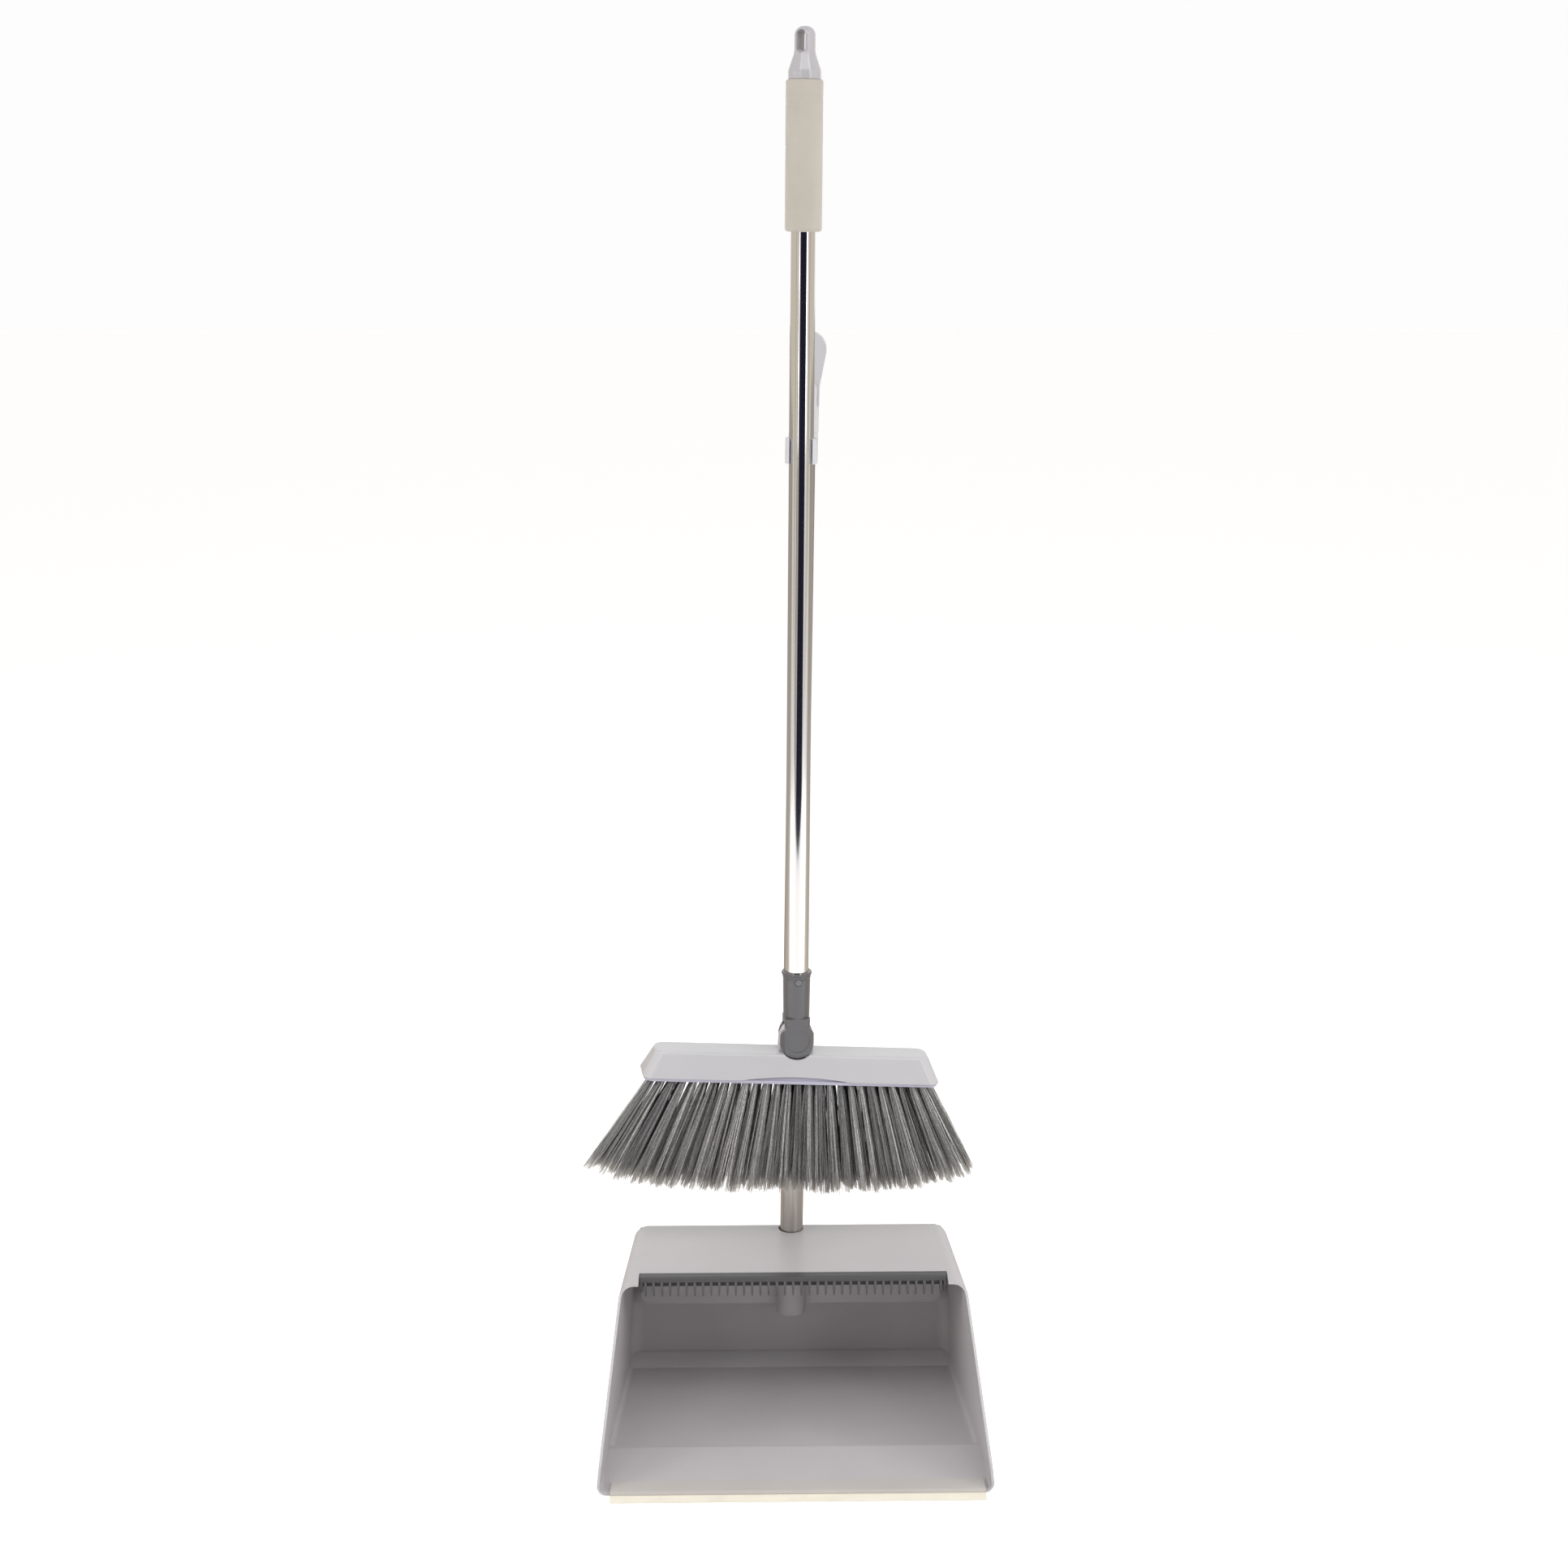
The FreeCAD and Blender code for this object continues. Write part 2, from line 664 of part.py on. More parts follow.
def handle_clip():
    """The handle on top of the pole, one moulding with the collar and the broom's clip."""
    collar = cylinder("clip_collar", "collar_radius", "clip_high - clip_low + 3", z="clip_low - 2")
    cap = cone("clip_cap", "collar_radius", "stem_radius", "4", z="clip_high + 1")
    ring = cylinder("clip_ring", "jaw_outer", "clip_high - clip_low", y="-clip_reach", z="clip_low")
    web = box("clip_web", "-5", "5", "-clip_reach + 10", "-8", "clip_low", "clip_high")

    shift = "handle_shift"
    stem_length = "stem_top - clip_high - 2"
    stem = cylinder("clip_stem", "stem_radius", stem_length, x=shift, z="clip_high + 2")
    paddle_line = [
        ("handle_shift - stem_radius", "stem_top - 14"),
        ("handle_shift + stem_radius", "stem_top - 14"),
        ("handle_shift + stem_radius", "stem_top"),
        ("handle_shift + paddle_half", "paddle_centre - 2"),
        ("handle_shift + paddle_half", "paddle_centre + 14"),
        ("handle_shift - paddle_half", "paddle_centre + 14"),
        ("handle_shift - paddle_half", "paddle_centre - 2"),
        ("handle_shift - stem_radius", "stem_top"),
    ]
    paddle = prism("clip_paddle_block", paddle_line, "paddle_thick / 2", XZ_PLANE)
    top = size("paddle_centre") + 14

    def crown(edge):
        return near(middle(edge).z, top) and edge.BoundBox.YLength > 5 and edge.Length < 11

    def bulge(edge):
        at = middle(edge)
        aside = abs(at.x - size("handle_shift"))
        return near(at.z, size("paddle_centre") - 2) and near(aside, size("paddle_half"))

    paddle_crown = rounded("clip_paddle_crown", paddle, size("paddle_half") - 0.5, crown)
    paddle_soft = rounded("clip_paddle", paddle_crown, 9, bulge)
    blend = cone("clip_blend", "stem_radius", "4.6", "14", x=shift, z="stem_top - 0.01")
    solid = fuse("clip_solid", collar, cap, ring, web, stem, paddle_soft, blend)

    seat_depth = "pole_top - clip_low + 12"
    pole_seat = cylinder("clip_pole_seat", "tube_radius + 0.02", seat_depth, z="clip_low - 12")
    bore = cylinder("clip_bore", "jaw_bore", "40", y="-clip_reach", z="clip_low - 10")
    mouth = box(
        "clip_mouth",
        "-jaw_mouth",
        "jaw_mouth",
        "-clip_reach - 30",
        "-clip_reach",
        "clip_low - 10",
        "clip_high + 10",
    )
    eye = cylinder("clip_eye", "hang_hole", "60", x=shift, y="30", z="paddle_centre", turn=XZ_PLANE)
    return cut("handle_clip", solid, pole_seat, bore, mouth, eye)


# ---------------------------------------------------------------- the broom's stick


def hang_cap():
    """The cap in the top of the broom: plug, bell and a knob with a hanging eye."""
    plug = "tube_radius - tube_wall - 0.05"
    corners = [
        ("0", "cap_seat - 28"),
        (plug, "cap_seat - 28"),
        (plug, "stick_top + 0.1"),
        ("tube_radius", "stick_top + 0.1"),
        ("tube_radius", "cap_seat"),
        ("cap_radius", "cap_seat"),
        ("cap_radius", "cap_seat + 6"),
        ("knob_radius", "cap_seat + 19"),
        ("knob_radius", "cap_top"),
        ("0", "cap_top"),
    ]
    body = turned("cap_turned", corners)
    soften(body, "cap_bell", "9", ring_at(size("cap_seat") + 6, size("cap_radius")))
    soften(body, "cap_waist", "16", ring_at(size("cap_seat") + 19, size("knob_radius")))
    soften(body, "cap_crown", "knob_radius - 1.2", ring_at(size("cap_top"), size("knob_radius")))
    doc.recompute()
    half = size("eye_width") / 2
    low, high = size("eye_bottom") + half, size("eye_top") - half
    slot = Part.makeCylinder(half, 60, Vector(0, 30, low), Vector(0, -1, 0))
    slot = slot.fuse(Part.makeCylinder(half, 60, Vector(0, 30, high), Vector(0, -1, 0)))
    slot = slot.fuse(Part.makeBox(2 * half, 60, high - low, Vector(-half, -30, low)))
    slot.rotate(Vector(), Vector(0, 0, 1), size("eye_turn"))
    eye = doc.addObject("Part::Feature", "cap_eye")
    eye.Shape = slot
    return cut("hang_cap", body, eye)


def grip_sleeve():
    """The foam grip, a tube with soft ends."""
    corners = [
        ("tube_radius + 0.02", "grip_bottom"),
        ("grip_radius", "grip_bottom"),
        ("grip_radius", "cap_seat"),
        ("tube_radius + 0.02", "cap_seat"),
    ]
    body = turned("grip_sleeve", corners)
    for end in ("grip_bottom", "cap_seat"):
        soften(body, f"grip_{end}", "2.2", ring_at(size(end), size("grip_radius")))
    return body


def pivot_disc(name, radius, length, face, x=0):
    """A cylinder on the pivot axis, running forward from the bound face."""
    return cylinder(name, radius, length, x=x, y=face, z="pivot_height", turn=XZ_PLANE)


def outer_upright(side):
    """Picks the two upright edges on the outside of a cheek's arm."""
    reach = size("cheek_out") * (-1 if side == "front" else 1)

    def chosen(edge):
        return edge.BoundBox.ZLength > 10 and near(middle(edge).y, reach)

    return chosen


def neck_socket():
    """The socket of the broom's tube, with a rim, a closed floor and two round cheeks."""
    corners = [
        ("0", "neck_bottom"),
        ("neck_radius - neck_taper", "neck_bottom"),
        ("neck_radius", "neck_top - 6"),
        ("neck_radius + 0.6", "neck_top - 3"),
        ("neck_radius + 0.6", "neck_top"),
        ("tube_radius + 0.1", "neck_top"),
        ("tube_radius + 0.1", "stick_bottom - 0.1"),
        ("0", "stick_bottom - 0.1"),
    ]
    socket = turned("neck_round", corners)
    bead = doc.addObject("Part::Torus", "neck_bead")
    bind(bead, Radius1="neck_radius", Radius2="rim_radius")
    place(bead, z="neck_top - 1.3")
    bore = cylinder("neck_bead_bore", "tube_radius + 0.1", "10", z="neck_top - 6")
    rim = cut("neck_rim", bead, bore)
    sleeve = cylinder("cheek_limit", "cheek_radius + 0.4", "40", z="pivot_height - 16")
    cheeks = []
    for side, face, low, high in (
        ("front", "-cheek_out + cheek_thick", "-cheek_out", "-cheek_out + cheek_thick"),
        ("rear", "cheek_out", "cheek_out - cheek_thick", "cheek_out"),
    ):
        disc = pivot_disc(f"cheek_disc_{side}", "cheek_radius", "cheek_thick", face)
        name = f"cheek_arm_{side}"
        arm = box(name, "-cheek_neck", "cheek_neck", low, high, "pivot_height", "stick_bottom - 2")
        arm_soft = rounded(f"cheek_arm_soft_{side}", arm, 4.4, outer_upright(side))
        cheeks.append(common(f"cheek_{side}", fuse(f"cheek_plate_{side}", disc, arm_soft), sleeve))
    solid = fuse("neck_solid", socket, rim, *cheeks)
    pin_way = pivot_disc("neck_pin_way", "pin_radius + 0.02", "2 * cheek_out - 0.4", "cheek_out + 1")
    head_seat = pivot_disc("neck_head_seat", "5.6", "3", "cheek_out + 0.7")
    dish = pivot_disc("neck_dish", "cheek_dish", "2", "-cheek_out + 0.5")
    button_way = cylinder(
        "neck_button_way", "button_radius + 0.3", "20", z="button_height", turn=XZ_PLANE
    )
    return cut("neck_socket", solid, pin_way, head_seat, dish, button_way)


def broom_tube():
    """The broom's tube, with the hole for the snap button."""
    plain = tube("broom_tube_plain", "stick_bottom", "stick_top")
    way = "button_radius + 0.3"
    button_way = cylinder("tube_button_way", way, "20", z="button_height", turn=XZ_PLANE)
    return cut("broom_tube", plain, button_way)


def snap_button():
    """A round button with a flange inside the tube; it slides towards the axis."""
    reach, rear = "neck_radius + 0.9", "6.2"
    height = "button_height"
    stem = cylinder(
        "button_stem", "button_radius", f"{reach} - {rear}", y=f"-{rear}", z=height, turn=XZ_PLANE
    )
    front = -(size("neck_radius") + 0.9)
    dome = rounded("button_dome", stem, 0.8, lambda edge: near(middle(edge).y, front))
    flange = cylinder("button_flange", "button_radius + 1.4", "1", y="-6", z=height, turn=XZ_PLANE)
    return fuse("snap_button", dome, flange)


def button_spring():
    """The hairpin leaf behind the button: two arms and a round heel, one bent strip."""
    width, thick, gap = 5.0, 0.5, 13.7
    front, arm = -5.9, 24
    low = size("button_height") - arm + 4
    arms = [
        Part.makeBox(width, thick, arm, Vector(-width / 2, y, low)) for y in (front, front + gap)
    ]
    centre = Vector(-width / 2, front + (gap + thick) / 2, low)
    outer = Part.makeCylinder((gap + thick) / 2, width, centre, Vector(1, 0, 0))
    inner = Part.makeCylinder((gap - thick) / 2, width, centre, Vector(1, 0, 0))
    upper = Part.makeBox(width, 2 * gap, gap, Vector(-width / 2, front - 1, low))
    heel = outer.cut(inner).cut(upper)
    return arms[0].fuse([arms[1], heel]).removeSplitter()


def pivot_screw():
    """The pivot: a shaft from the rear into the front cheek, with a socket head in the rear one."""
    head = pivot_disc("pivot_head", "5.4", "2.1", "cheek_out - 0.1")
    shaft = pivot_disc("pivot_shaft", "pin_radius", "2 * cheek_out - 2.6", "cheek_out - 0.8")
    socket = doc.addObject("Part::Prism", "pivot_socket")
    socket.Polygon = 6
    bind(socket, Circumradius="2.3", Height="1.6")
    place(socket, y="cheek_out + 0.1", z="pivot_height", turn=XZ_PLANE)
    return cut("pivot_screw", fuse("pivot_solid", head, shaft), socket)


def thrust_washers():
    """Two thin washers that take the rub of the knuckle against the cheeks."""
    gap = "cheek_out - cheek_thick - 0.02"
    both = []
    for side, face in (("front", f"-({gap}) + washer_thick"), ("rear", gap)):
        disc = pivot_disc(f"washer_{side}_disc", "washer_radius", "washer_thick", face)
        way = pivot_disc(f"washer_{side}_way", "pin_radius + 0.03", "50", "25")
        both.append(cut(f"washer_{side}", disc, way))
    washers = doc.addObject("Part::Compound", "thrust_washers")
    washers.Links = both
    return washers


# ---------------------------------------------------------------- the broom's head


def soft_box(name, half, depth, low, high, corner):
    """A box with round upright corners."""
    block = box(name, f"-({half})", half, f"-({depth}) / 2", f"({depth}) / 2", low, high)
    doc.recompute()
    height = block.Shape.BoundBox.ZLength

    def upright(edge):
        return near(edge.BoundBox.ZLength, height, 0.01)

    return rounded(name + "_corners", block, corner, upright)


def cover_corners(inset, height):
    """The plan of the cover at one height: its ends and sides come in towards the top."""
    share = f"(({height}) - cover_bottom) / (cover_top - cover_bottom)"
    half = f"(head_half - cover_end_draft * {share} - ({inset}))"
    deep = f"(head_depth / 2 - cover_side_draft * {share} - ({inset}))"
    return [(f"-{half}", f"-{deep}"), (half, f"-{deep}"), (half, deep), (f"-{half}", deep)]


def cover_block(name, inset, low, high, corner, rim):
    """A drafted box with round corners and a soft top rim."""
    block = loft(name, cover_corners(inset, low), low, cover_corners(inset, high), high)
    doc.recompute()
    limits = block.Shape.BoundBox

    def chosen(edge):
        return near(edge.BoundBox.ZLength, limits.ZLength, 0.01)

    def top(edge):
        return near(middle(edge).z, limits.ZMax, 0.01)

    corners = rounded(name + "_corners", block, corner, chosen)
    return rounded(name + "_soft", corners, rim, top)


def head_cover():
    """The cover of the head: a long cap, open below, with the pivot's knuckle on top."""
    corner, rim, wall = size("cover_corner"), size("cover_rim"), size("cover_wall")
    outer = cover_block("cover_outer", "0", "cover_bottom", "cover_top", corner, rim)
    inner = cover_block(
        "cover_inner",
        "cover_wall",
        "cover_bottom - 5",
        "cover_top - cover_wall",
        corner - wall,
        rim - 1.2,
    )
    shell = cut("cover_shell", outer, inner)
    half_gap = "cheek_out - cheek_thick - washer_thick - 0.1"
    knuckle = pivot_disc(
        "cover_knuckle", "knuckle_radius", f"2 * ({half_gap})", half_gap, x="head_shift"
    )
    root = box(
        "cover_knuckle_root",
        "head_shift - knuckle_radius",
        "head_shift + knuckle_radius",
        f"-({half_gap})",
        half_gap,
        "base_top + 0.3",
        "pivot_height",
    )
    posts = [
        cylinder(f"cover_post_{k}", "3.4", "cover_top - 1 - base_top - 0.1", x=x, z="base_top + 0.1")
        for k, x in enumerate(SCREW_PLACES)
    ]
    solid = fuse("cover_solid", shell, knuckle, root, *posts)

    dish_radius = "cheek_radius + 0.7"
    dishes = [
        pivot_disc("cover_dish_front", dish_radius, "30", f"-({half_gap})", x="head_shift"),
        pivot_disc("cover_dish_rear", dish_radius, "30", f"{half_gap} + 30", x="head_shift"),
    ]
    pin_way = pivot_disc("cover_pin_way", "pin_radius + 0.05", "60", "30", x="head_shift")
    pilots = [
        cylinder(f"cover_pilot_{k}", "screw_shank + 0.02", "7.2", x=x, z="base_top - 0.5")
        for k, x in enumerate(SCREW_PLACES)
    ]
    arch_radius = "(arch_half * arch_half + arch_rise * arch_rise) / (2 * arch_rise)"
    arch = cylinder(
        "cover_arch",
        arch_radius,
        "100",
        x="head_shift",
        y="50",
        z=f"cover_bottom + arch_rise - {arch_radius}",
        turn=XZ_PLANE,
    )
    return cut("head_cover", solid, *dishes, pin_way, *pilots, arch)


def tuft_ends(row, column):
    """Root and tip of one tuft: the tips fan out, and the end tips stand higher."""
    columns, rows = int(size("tuft_columns")), int(size("tuft_rows"))
    across = column - (columns - 1) / 2
    back = row - (rows - 1) / 2
    edge = abs(across) / ((columns - 1) / 2)
    pitch, fan, skew = size("tuft_pitch"), size("tuft_fan"), back * size("row_skew")
    root = Vector(across * pitch + skew, back * size("row_pitch"), size("base_bottom"))
    tip_height = size("tip_centre") + (size("tip_corner") - size("tip_centre")) * edge**4
    tip = Vector(across * fan + skew * fan / pitch, back * size("row_fan"), tip_height)
    return root, tip


def hole_bottom(root, tip):
    """Where a tuft ends inside the block, along its own line."""
    rise = (tip - root) * (size("tuft_hole") / (root.z - tip.z))
    return root - rise


def tuft(row, column):
    """One tuft as a slim cone; a long end tuft stops at its stiff length."""
    root, tip = tuft_ends(row, column)
    start = hole_bottom(root, tip)
    line = tip - start
    pivot = Vector(size("head_shift"), tip.y, size("pivot_height"))
    length = line.Length
    unit = Vector(line).normalize()
    while (start + unit * length - pivot).Length > size("tip_reach"):
        length -= 0.25
    grown = (size("tuft_tip") - size("tuft_root")) * length / line.Length
    return Part.makeCone(size("tuft_root"), size("tuft_root") + grown, length, start, unit)


def tuft_row(row):
    return Part.makeCompound([tuft(row, k) for k in range(int(size("tuft_columns")))])


def every_tuft():
    """The foot of each tuft and the direction it grows in."""
    for row in range(int(size("tuft_rows"))):
        for column in range(int(size("tuft_columns"))):
            root, tip = tuft_ends(row, column)
            foot = hole_bottom(root, tip)
            yield foot, (tip - foot).normalize()


def staple_box(foot, unit, slack, start, height):
    """A flat box over the foot of a tuft, in line with the tuft."""
    width, thick = size("staple_width") + 2 * slack, size("staple_thick") + 2 * slack
    block = Part.makeBox(width, thick, height, Vector(-width / 2, -thick / 2, start))
    block.Placement = Placement(foot, Rotation(Vector(0, 0, 1), -unit))
    return block


def staples():
    """The flat wire staple at the bottom of every tuft hole."""
    height = size("staple_height")
    return Part.makeCompound([staple_box(foot, unit, 0, 0.25, height) for foot, unit in every_tuft()])


def bristle_block():
    """The block that carries the tufts, drilled for each tuft and its staple."""
    rim = soft_box(
        "block_rim",
        "head_half - base_trim",
        "head_depth - 2 * base_trim",
        "base_bottom",
        "cover_bottom - 0.05",
        size("cover_corner") - size("base_trim"),
    )
    inner = cover_block(
        "block_inner",
        "cover_wall + 0.3",
        "base_bottom + 0.5",
        "base_top",
        size("cover_corner") - size("cover_wall") - 0.3,
        0.6,
    )
    solid = fuse("block_solid", rim, inner)
    doc.recompute()
    bore, slack = size("tuft_root") + 0.02, 0.05
    drills = []
    for foot, unit in every_tuft():
        drills.append(Part.makeCone(bore, bore + 0.23, 14, foot - unit * slack, unit))
        drills.append(staple_box(foot, unit, slack, 0, size("staple_height") + 0.3))
    low = size("base_bottom")
    for x in SCREW_PLACES:
        drills.append(Part.makeCylinder(size("screw_shank") + 0.2, 40, Vector(x, 0, low - 5)))
        sink = size("screw_sink") + 2.1
        drills.append(Part.makeCylinder(size("screw_head") + 0.2, sink + 1, Vector(x, 0, low - 1)))
    return solid.Shape.cut(drills)


def cover_screws():
    """Four self-tapping screws, driven up through the block into the cover's posts."""
    head_low = size("base_bottom") + size("screw_sink")
    head_high = head_low + 2
    length = size("base_top") + 5 - head_high
    made = []
    for x in SCREW_PLACES:
        head = Part.makeCone(size("screw_head") - 0.6, size("screw_head"), 2, Vector(x, 0, head_low))
        shank = Part.makeCylinder(size("screw_shank"), length, Vector(x, 0, head_high))
        made.append(head.fuse(shank).removeSplitter())
    return Part.makeCompound(made)


# ---------------------------------------------------------------- the assembly

doc.recompute()
keep(pan_shell(), "pan_shell", PAN_FRAME)
keep(comb_rail(), "comb_rail", PAN_FRAME)
keep_shape(comb_teeth(), "comb_teeth", PAN_FRAME)
keep(lip_strip(), "lip_strip", LIP_FRAME)
keep(lip_rubber(), "lip_rubber", LIP_FRAME)
keep(tube("pole_tube", "pole_bottom", "pole_top"), "pole_tube", POLE_FRAME)
keep(pole_plug(), "pole_plug", POLE_FRAME)
pole_screw = pan_head_screw("pole_screw", "1.25", "24", "4.2", "boss_bottom + 23.8")
keep(pole_screw, "pole_screw", POLE_FRAME)
keep(handle_clip(), "handle_clip", CLIP_FRAME)

keep(hang_cap(), "hang_cap", BROOM_FRAME)
keep(grip_sleeve(), "grip_sleeve", BROOM_FRAME)
keep(broom_tube(), "broom_tube", BROOM_FRAME)
keep(neck_socket(), "neck_socket", BROOM_FRAME)
keep_shape(button_spring(), "button_spring", BROOM_FRAME)
keep(snap_button(), "snap_button", BROOM_FRAME)
keep(pivot_screw(), "pivot_screw", BROOM_FRAME)
keep(thrust_washers(), "thrust_washers", BROOM_FRAME)

keep(head_cover(), "head_cover", HEAD_FRAME)
keep_shape(bristle_block(), "bristle_block", HEAD_FRAME)
keep_shape(cover_screws(), "cover_screws", HEAD_FRAME)
keep_shape(staples(), "tuft_staples", HEAD_FRAME)
for number in range(int(size("tuft_rows"))):
    keep_shape(tuft_row(number), f"bristle_row_{number + 1}", HEAD_FRAME)

doc.recompute()
failed = [obj.Name for obj in doc.Objects if {"Invalid", "Error"} & set(obj.State)]
for obj in sub_parts:
    if obj.Shape.isNull() or not obj.Shape.isValid() or not obj.Shape.Solids:
        failed.append(obj.Label)
if failed:
    raise SystemExit("these did not build: " + ", ".join(failed))

os.makedirs("parts", exist_ok=True)
for obj in sub_parts:
    obj.Shape.exportStep(f"parts/{obj.Label}.step")
    solids = len(obj.Shape.Solids)
    print(f"{obj.Label}: {solids} solid(s), {obj.Shape.Volume / 1000:.2f} cm3")
print("broom seat", [round(v, 3) for v in BROOM_SEAT])
print("pull axis", [round(v, 5) for v in CLIP_FRAME.Rotation.multVec(Vector(0, -1, 0))])
pivot = BROOM_FRAME.multVec(Vector(0, 0, size("pivot_height")))
print("pivot at", [round(v, 3) for v in pivot])
print("pivot axis", [round(v, 5) for v in BROOM_FRAME.Rotation.multVec(Vector(0, 1, 0))])
print("up the stick", [round(v, 5) for v in BROOM_FRAME.Rotation.multVec(Vector(0, 0, 1))])
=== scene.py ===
import json
import math
import random

import bmesh
import bpy
from mathutils import Matrix, Vector


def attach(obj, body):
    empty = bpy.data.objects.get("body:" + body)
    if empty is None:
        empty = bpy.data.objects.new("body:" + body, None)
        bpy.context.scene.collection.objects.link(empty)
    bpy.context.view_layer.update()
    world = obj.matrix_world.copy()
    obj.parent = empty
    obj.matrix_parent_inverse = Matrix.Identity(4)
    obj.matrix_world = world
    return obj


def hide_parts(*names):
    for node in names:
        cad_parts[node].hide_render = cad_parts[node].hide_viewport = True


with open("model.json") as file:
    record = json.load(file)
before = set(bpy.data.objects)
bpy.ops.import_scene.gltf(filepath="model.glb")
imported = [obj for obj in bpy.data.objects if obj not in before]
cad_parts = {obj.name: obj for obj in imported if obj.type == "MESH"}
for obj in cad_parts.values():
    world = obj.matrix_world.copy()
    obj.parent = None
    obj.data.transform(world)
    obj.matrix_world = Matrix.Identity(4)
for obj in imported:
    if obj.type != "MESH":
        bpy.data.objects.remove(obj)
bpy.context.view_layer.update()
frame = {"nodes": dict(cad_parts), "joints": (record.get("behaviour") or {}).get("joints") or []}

MM = 0.001
SEED = 11

# How the broom hangs: its lean, its turn about its own axis and the roll of its head, in degrees
BROOM_LEAN = 0.42
BROOM_TURN = 7
HEAD_ROLL = 4.0
HEAD_SHIFT = 2.6
PIVOT_HEIGHT = 315.2

JOINTS = {joint["name"]: joint for joint in frame["joints"]}
PIVOT = Vector(JOINTS["head_pivot"]["pos_m"])


def lifted(height):
    return Matrix.Translation((0, 0, height * MM))


TO_STICK = (
    Matrix.Translation(PIVOT)
    @ Matrix.Rotation(math.radians(BROOM_LEAN), 4, "Y")
    @ Matrix.Rotation(math.radians(BROOM_TURN), 4, "Z")
    @ lifted(-PIVOT_HEIGHT)
)
TO_HEAD = (
    TO_STICK
    @ lifted(PIVOT_HEIGHT)
    @ Matrix.Rotation(math.radians(HEAD_ROLL), 4, "Y")
    @ lifted(-PIVOT_HEIGHT)
    @ Matrix.Translation((-HEAD_SHIFT * MM, 0, 0))
)


# ---------------------------------------------------------------- camera, light and floor

CAMERA_PLACE = (-0.0058, -1.928, 1.0)
CAMERA_ORBIT = -1.0
CAMERA_PITCH = 14
CAMERA_LENS = 56.83
FLOOR_FRONT = -1.72
FLOOR_BACK = 14
FLOOR_SIDE = 9
ROOM_LIGHT = 1.0
BACKDROP_LIGHT = 0.98
FLOOR_GLOW = 0.28
# The part of the floor behind the object, from one depth to the other, is painted dim for glossy rays only:
# a painted reflection in the tubes' mirror
MIRRORED_WHITE = -0.45
MIRRORED_DIM = -0.10
FLOOR_TONE = (0.95, 0.95, 0.95, 1)
# Painted reflection: the dim tone that glossy rays see on the floor behind the object
PAINTED_REFLECTION_TONE = (0.48, 0.43, 0.38, 1)
FLOOR_HEIGHT = -0.0002


def linear(level):
    """A display level from 0 to 255 as a linear one."""
    share = level / 255
    return share / 12.92 if share <= 0.04045 else ((share + 0.055) / 1.055) ** 2.4


def colour(red, green, blue):
    return (linear(red), linear(green), linear(blue), 1)


def make_camera():
    camera = bpy.data.objects.new("camera", bpy.data.cameras.new("camera"))
    camera.data.lens = CAMERA_LENS
    camera.data.clip_start = 0.05
    camera.location = Matrix.Rotation(math.radians(CAMERA_ORBIT), 3, "Z") @ Vector(CAMERA_PLACE)
    camera.rotation_euler = (math.radians(90 - CAMERA_PITCH), 0, math.radians(CAMERA_ORBIT))
    bpy.context.scene.collection.objects.link(camera)
    bpy.context.scene.camera = camera


# Soft lamps: name: (place, target, size, power in watts, whether polished parts mirror it)
LAMPS = {
    "left_strip": ((-1.35, -2.05, 1.7), (0, 0, 0.75), (0.24, 2.6), 5, True),
    "right_strip": ((1.55, -1.95, 1.7), (0, 0, 0.75), (0.5, 2.6), 9, True),
    "front": ((0.0, -1.6, 2.3), (0, 0, 0.1), (2.4, 1.0), 13, True),
    "left_fill": ((-1.7, -0.75, 0.9), (0.1, -0.15, 0.05), (0.9, 0.9), 12, False),
    "right_fill": ((1.7, -0.75, 0.9), (-0.1, -0.15, 0.05), (0.9, 0.9), 12, False),
}


def make_area(name, place, target, size, power, mirrored):
    light = bpy.data.lights.new(name, "AREA")
    light.shape = "RECTANGLE"
    light.size, light.size_y = size
    light.energy = power
    lamp = bpy.data.objects.new(name, light)
    lamp.location = place
    lamp.visible_glossy = mirrored
    lamp.rotation_euler = (Vector(target) - Vector(place)).to_track_quat("-Z", "Y").to_euler()
    bpy.context.scene.collection.objects.link(lamp)


# The room round the object, by direction in degrees from the open side: (start, colour)
ROOM = (
    (-180, (1.0, 1.0, 1.0)),
    (-152, (0.62, 0.56, 0.48)),
    (-66, (0.48, 0.42, 0.36)),
    (-58, (0.66, 0.60, 0.52)),
    (-42.5, (0.05, 0.05, 0.06)),
    (-39.5, (0.42, 0.39, 0.36)),
    (-23, (0.014, 0.014, 0.028)),
    (30, (0.10, 0.10, 0.12)),
    (33, (0.75, 0.74, 0.72)),
    (46, (0.62, 0.56, 0.48)),
    (62, (0.42, 0.38, 0.33)),
    (70, (0.64, 0.58, 0.50)),
    (132, (1.0, 1.0, 1.0)),
)
ROOM_SOFTNESS = 1.2
# Upward part of a direction where the roof starts and where it covers all
ROOF_START = 0.35
ROOF_FULL = 0.75
ROOF_TONE = (0.8, 0.8, 0.8, 1)


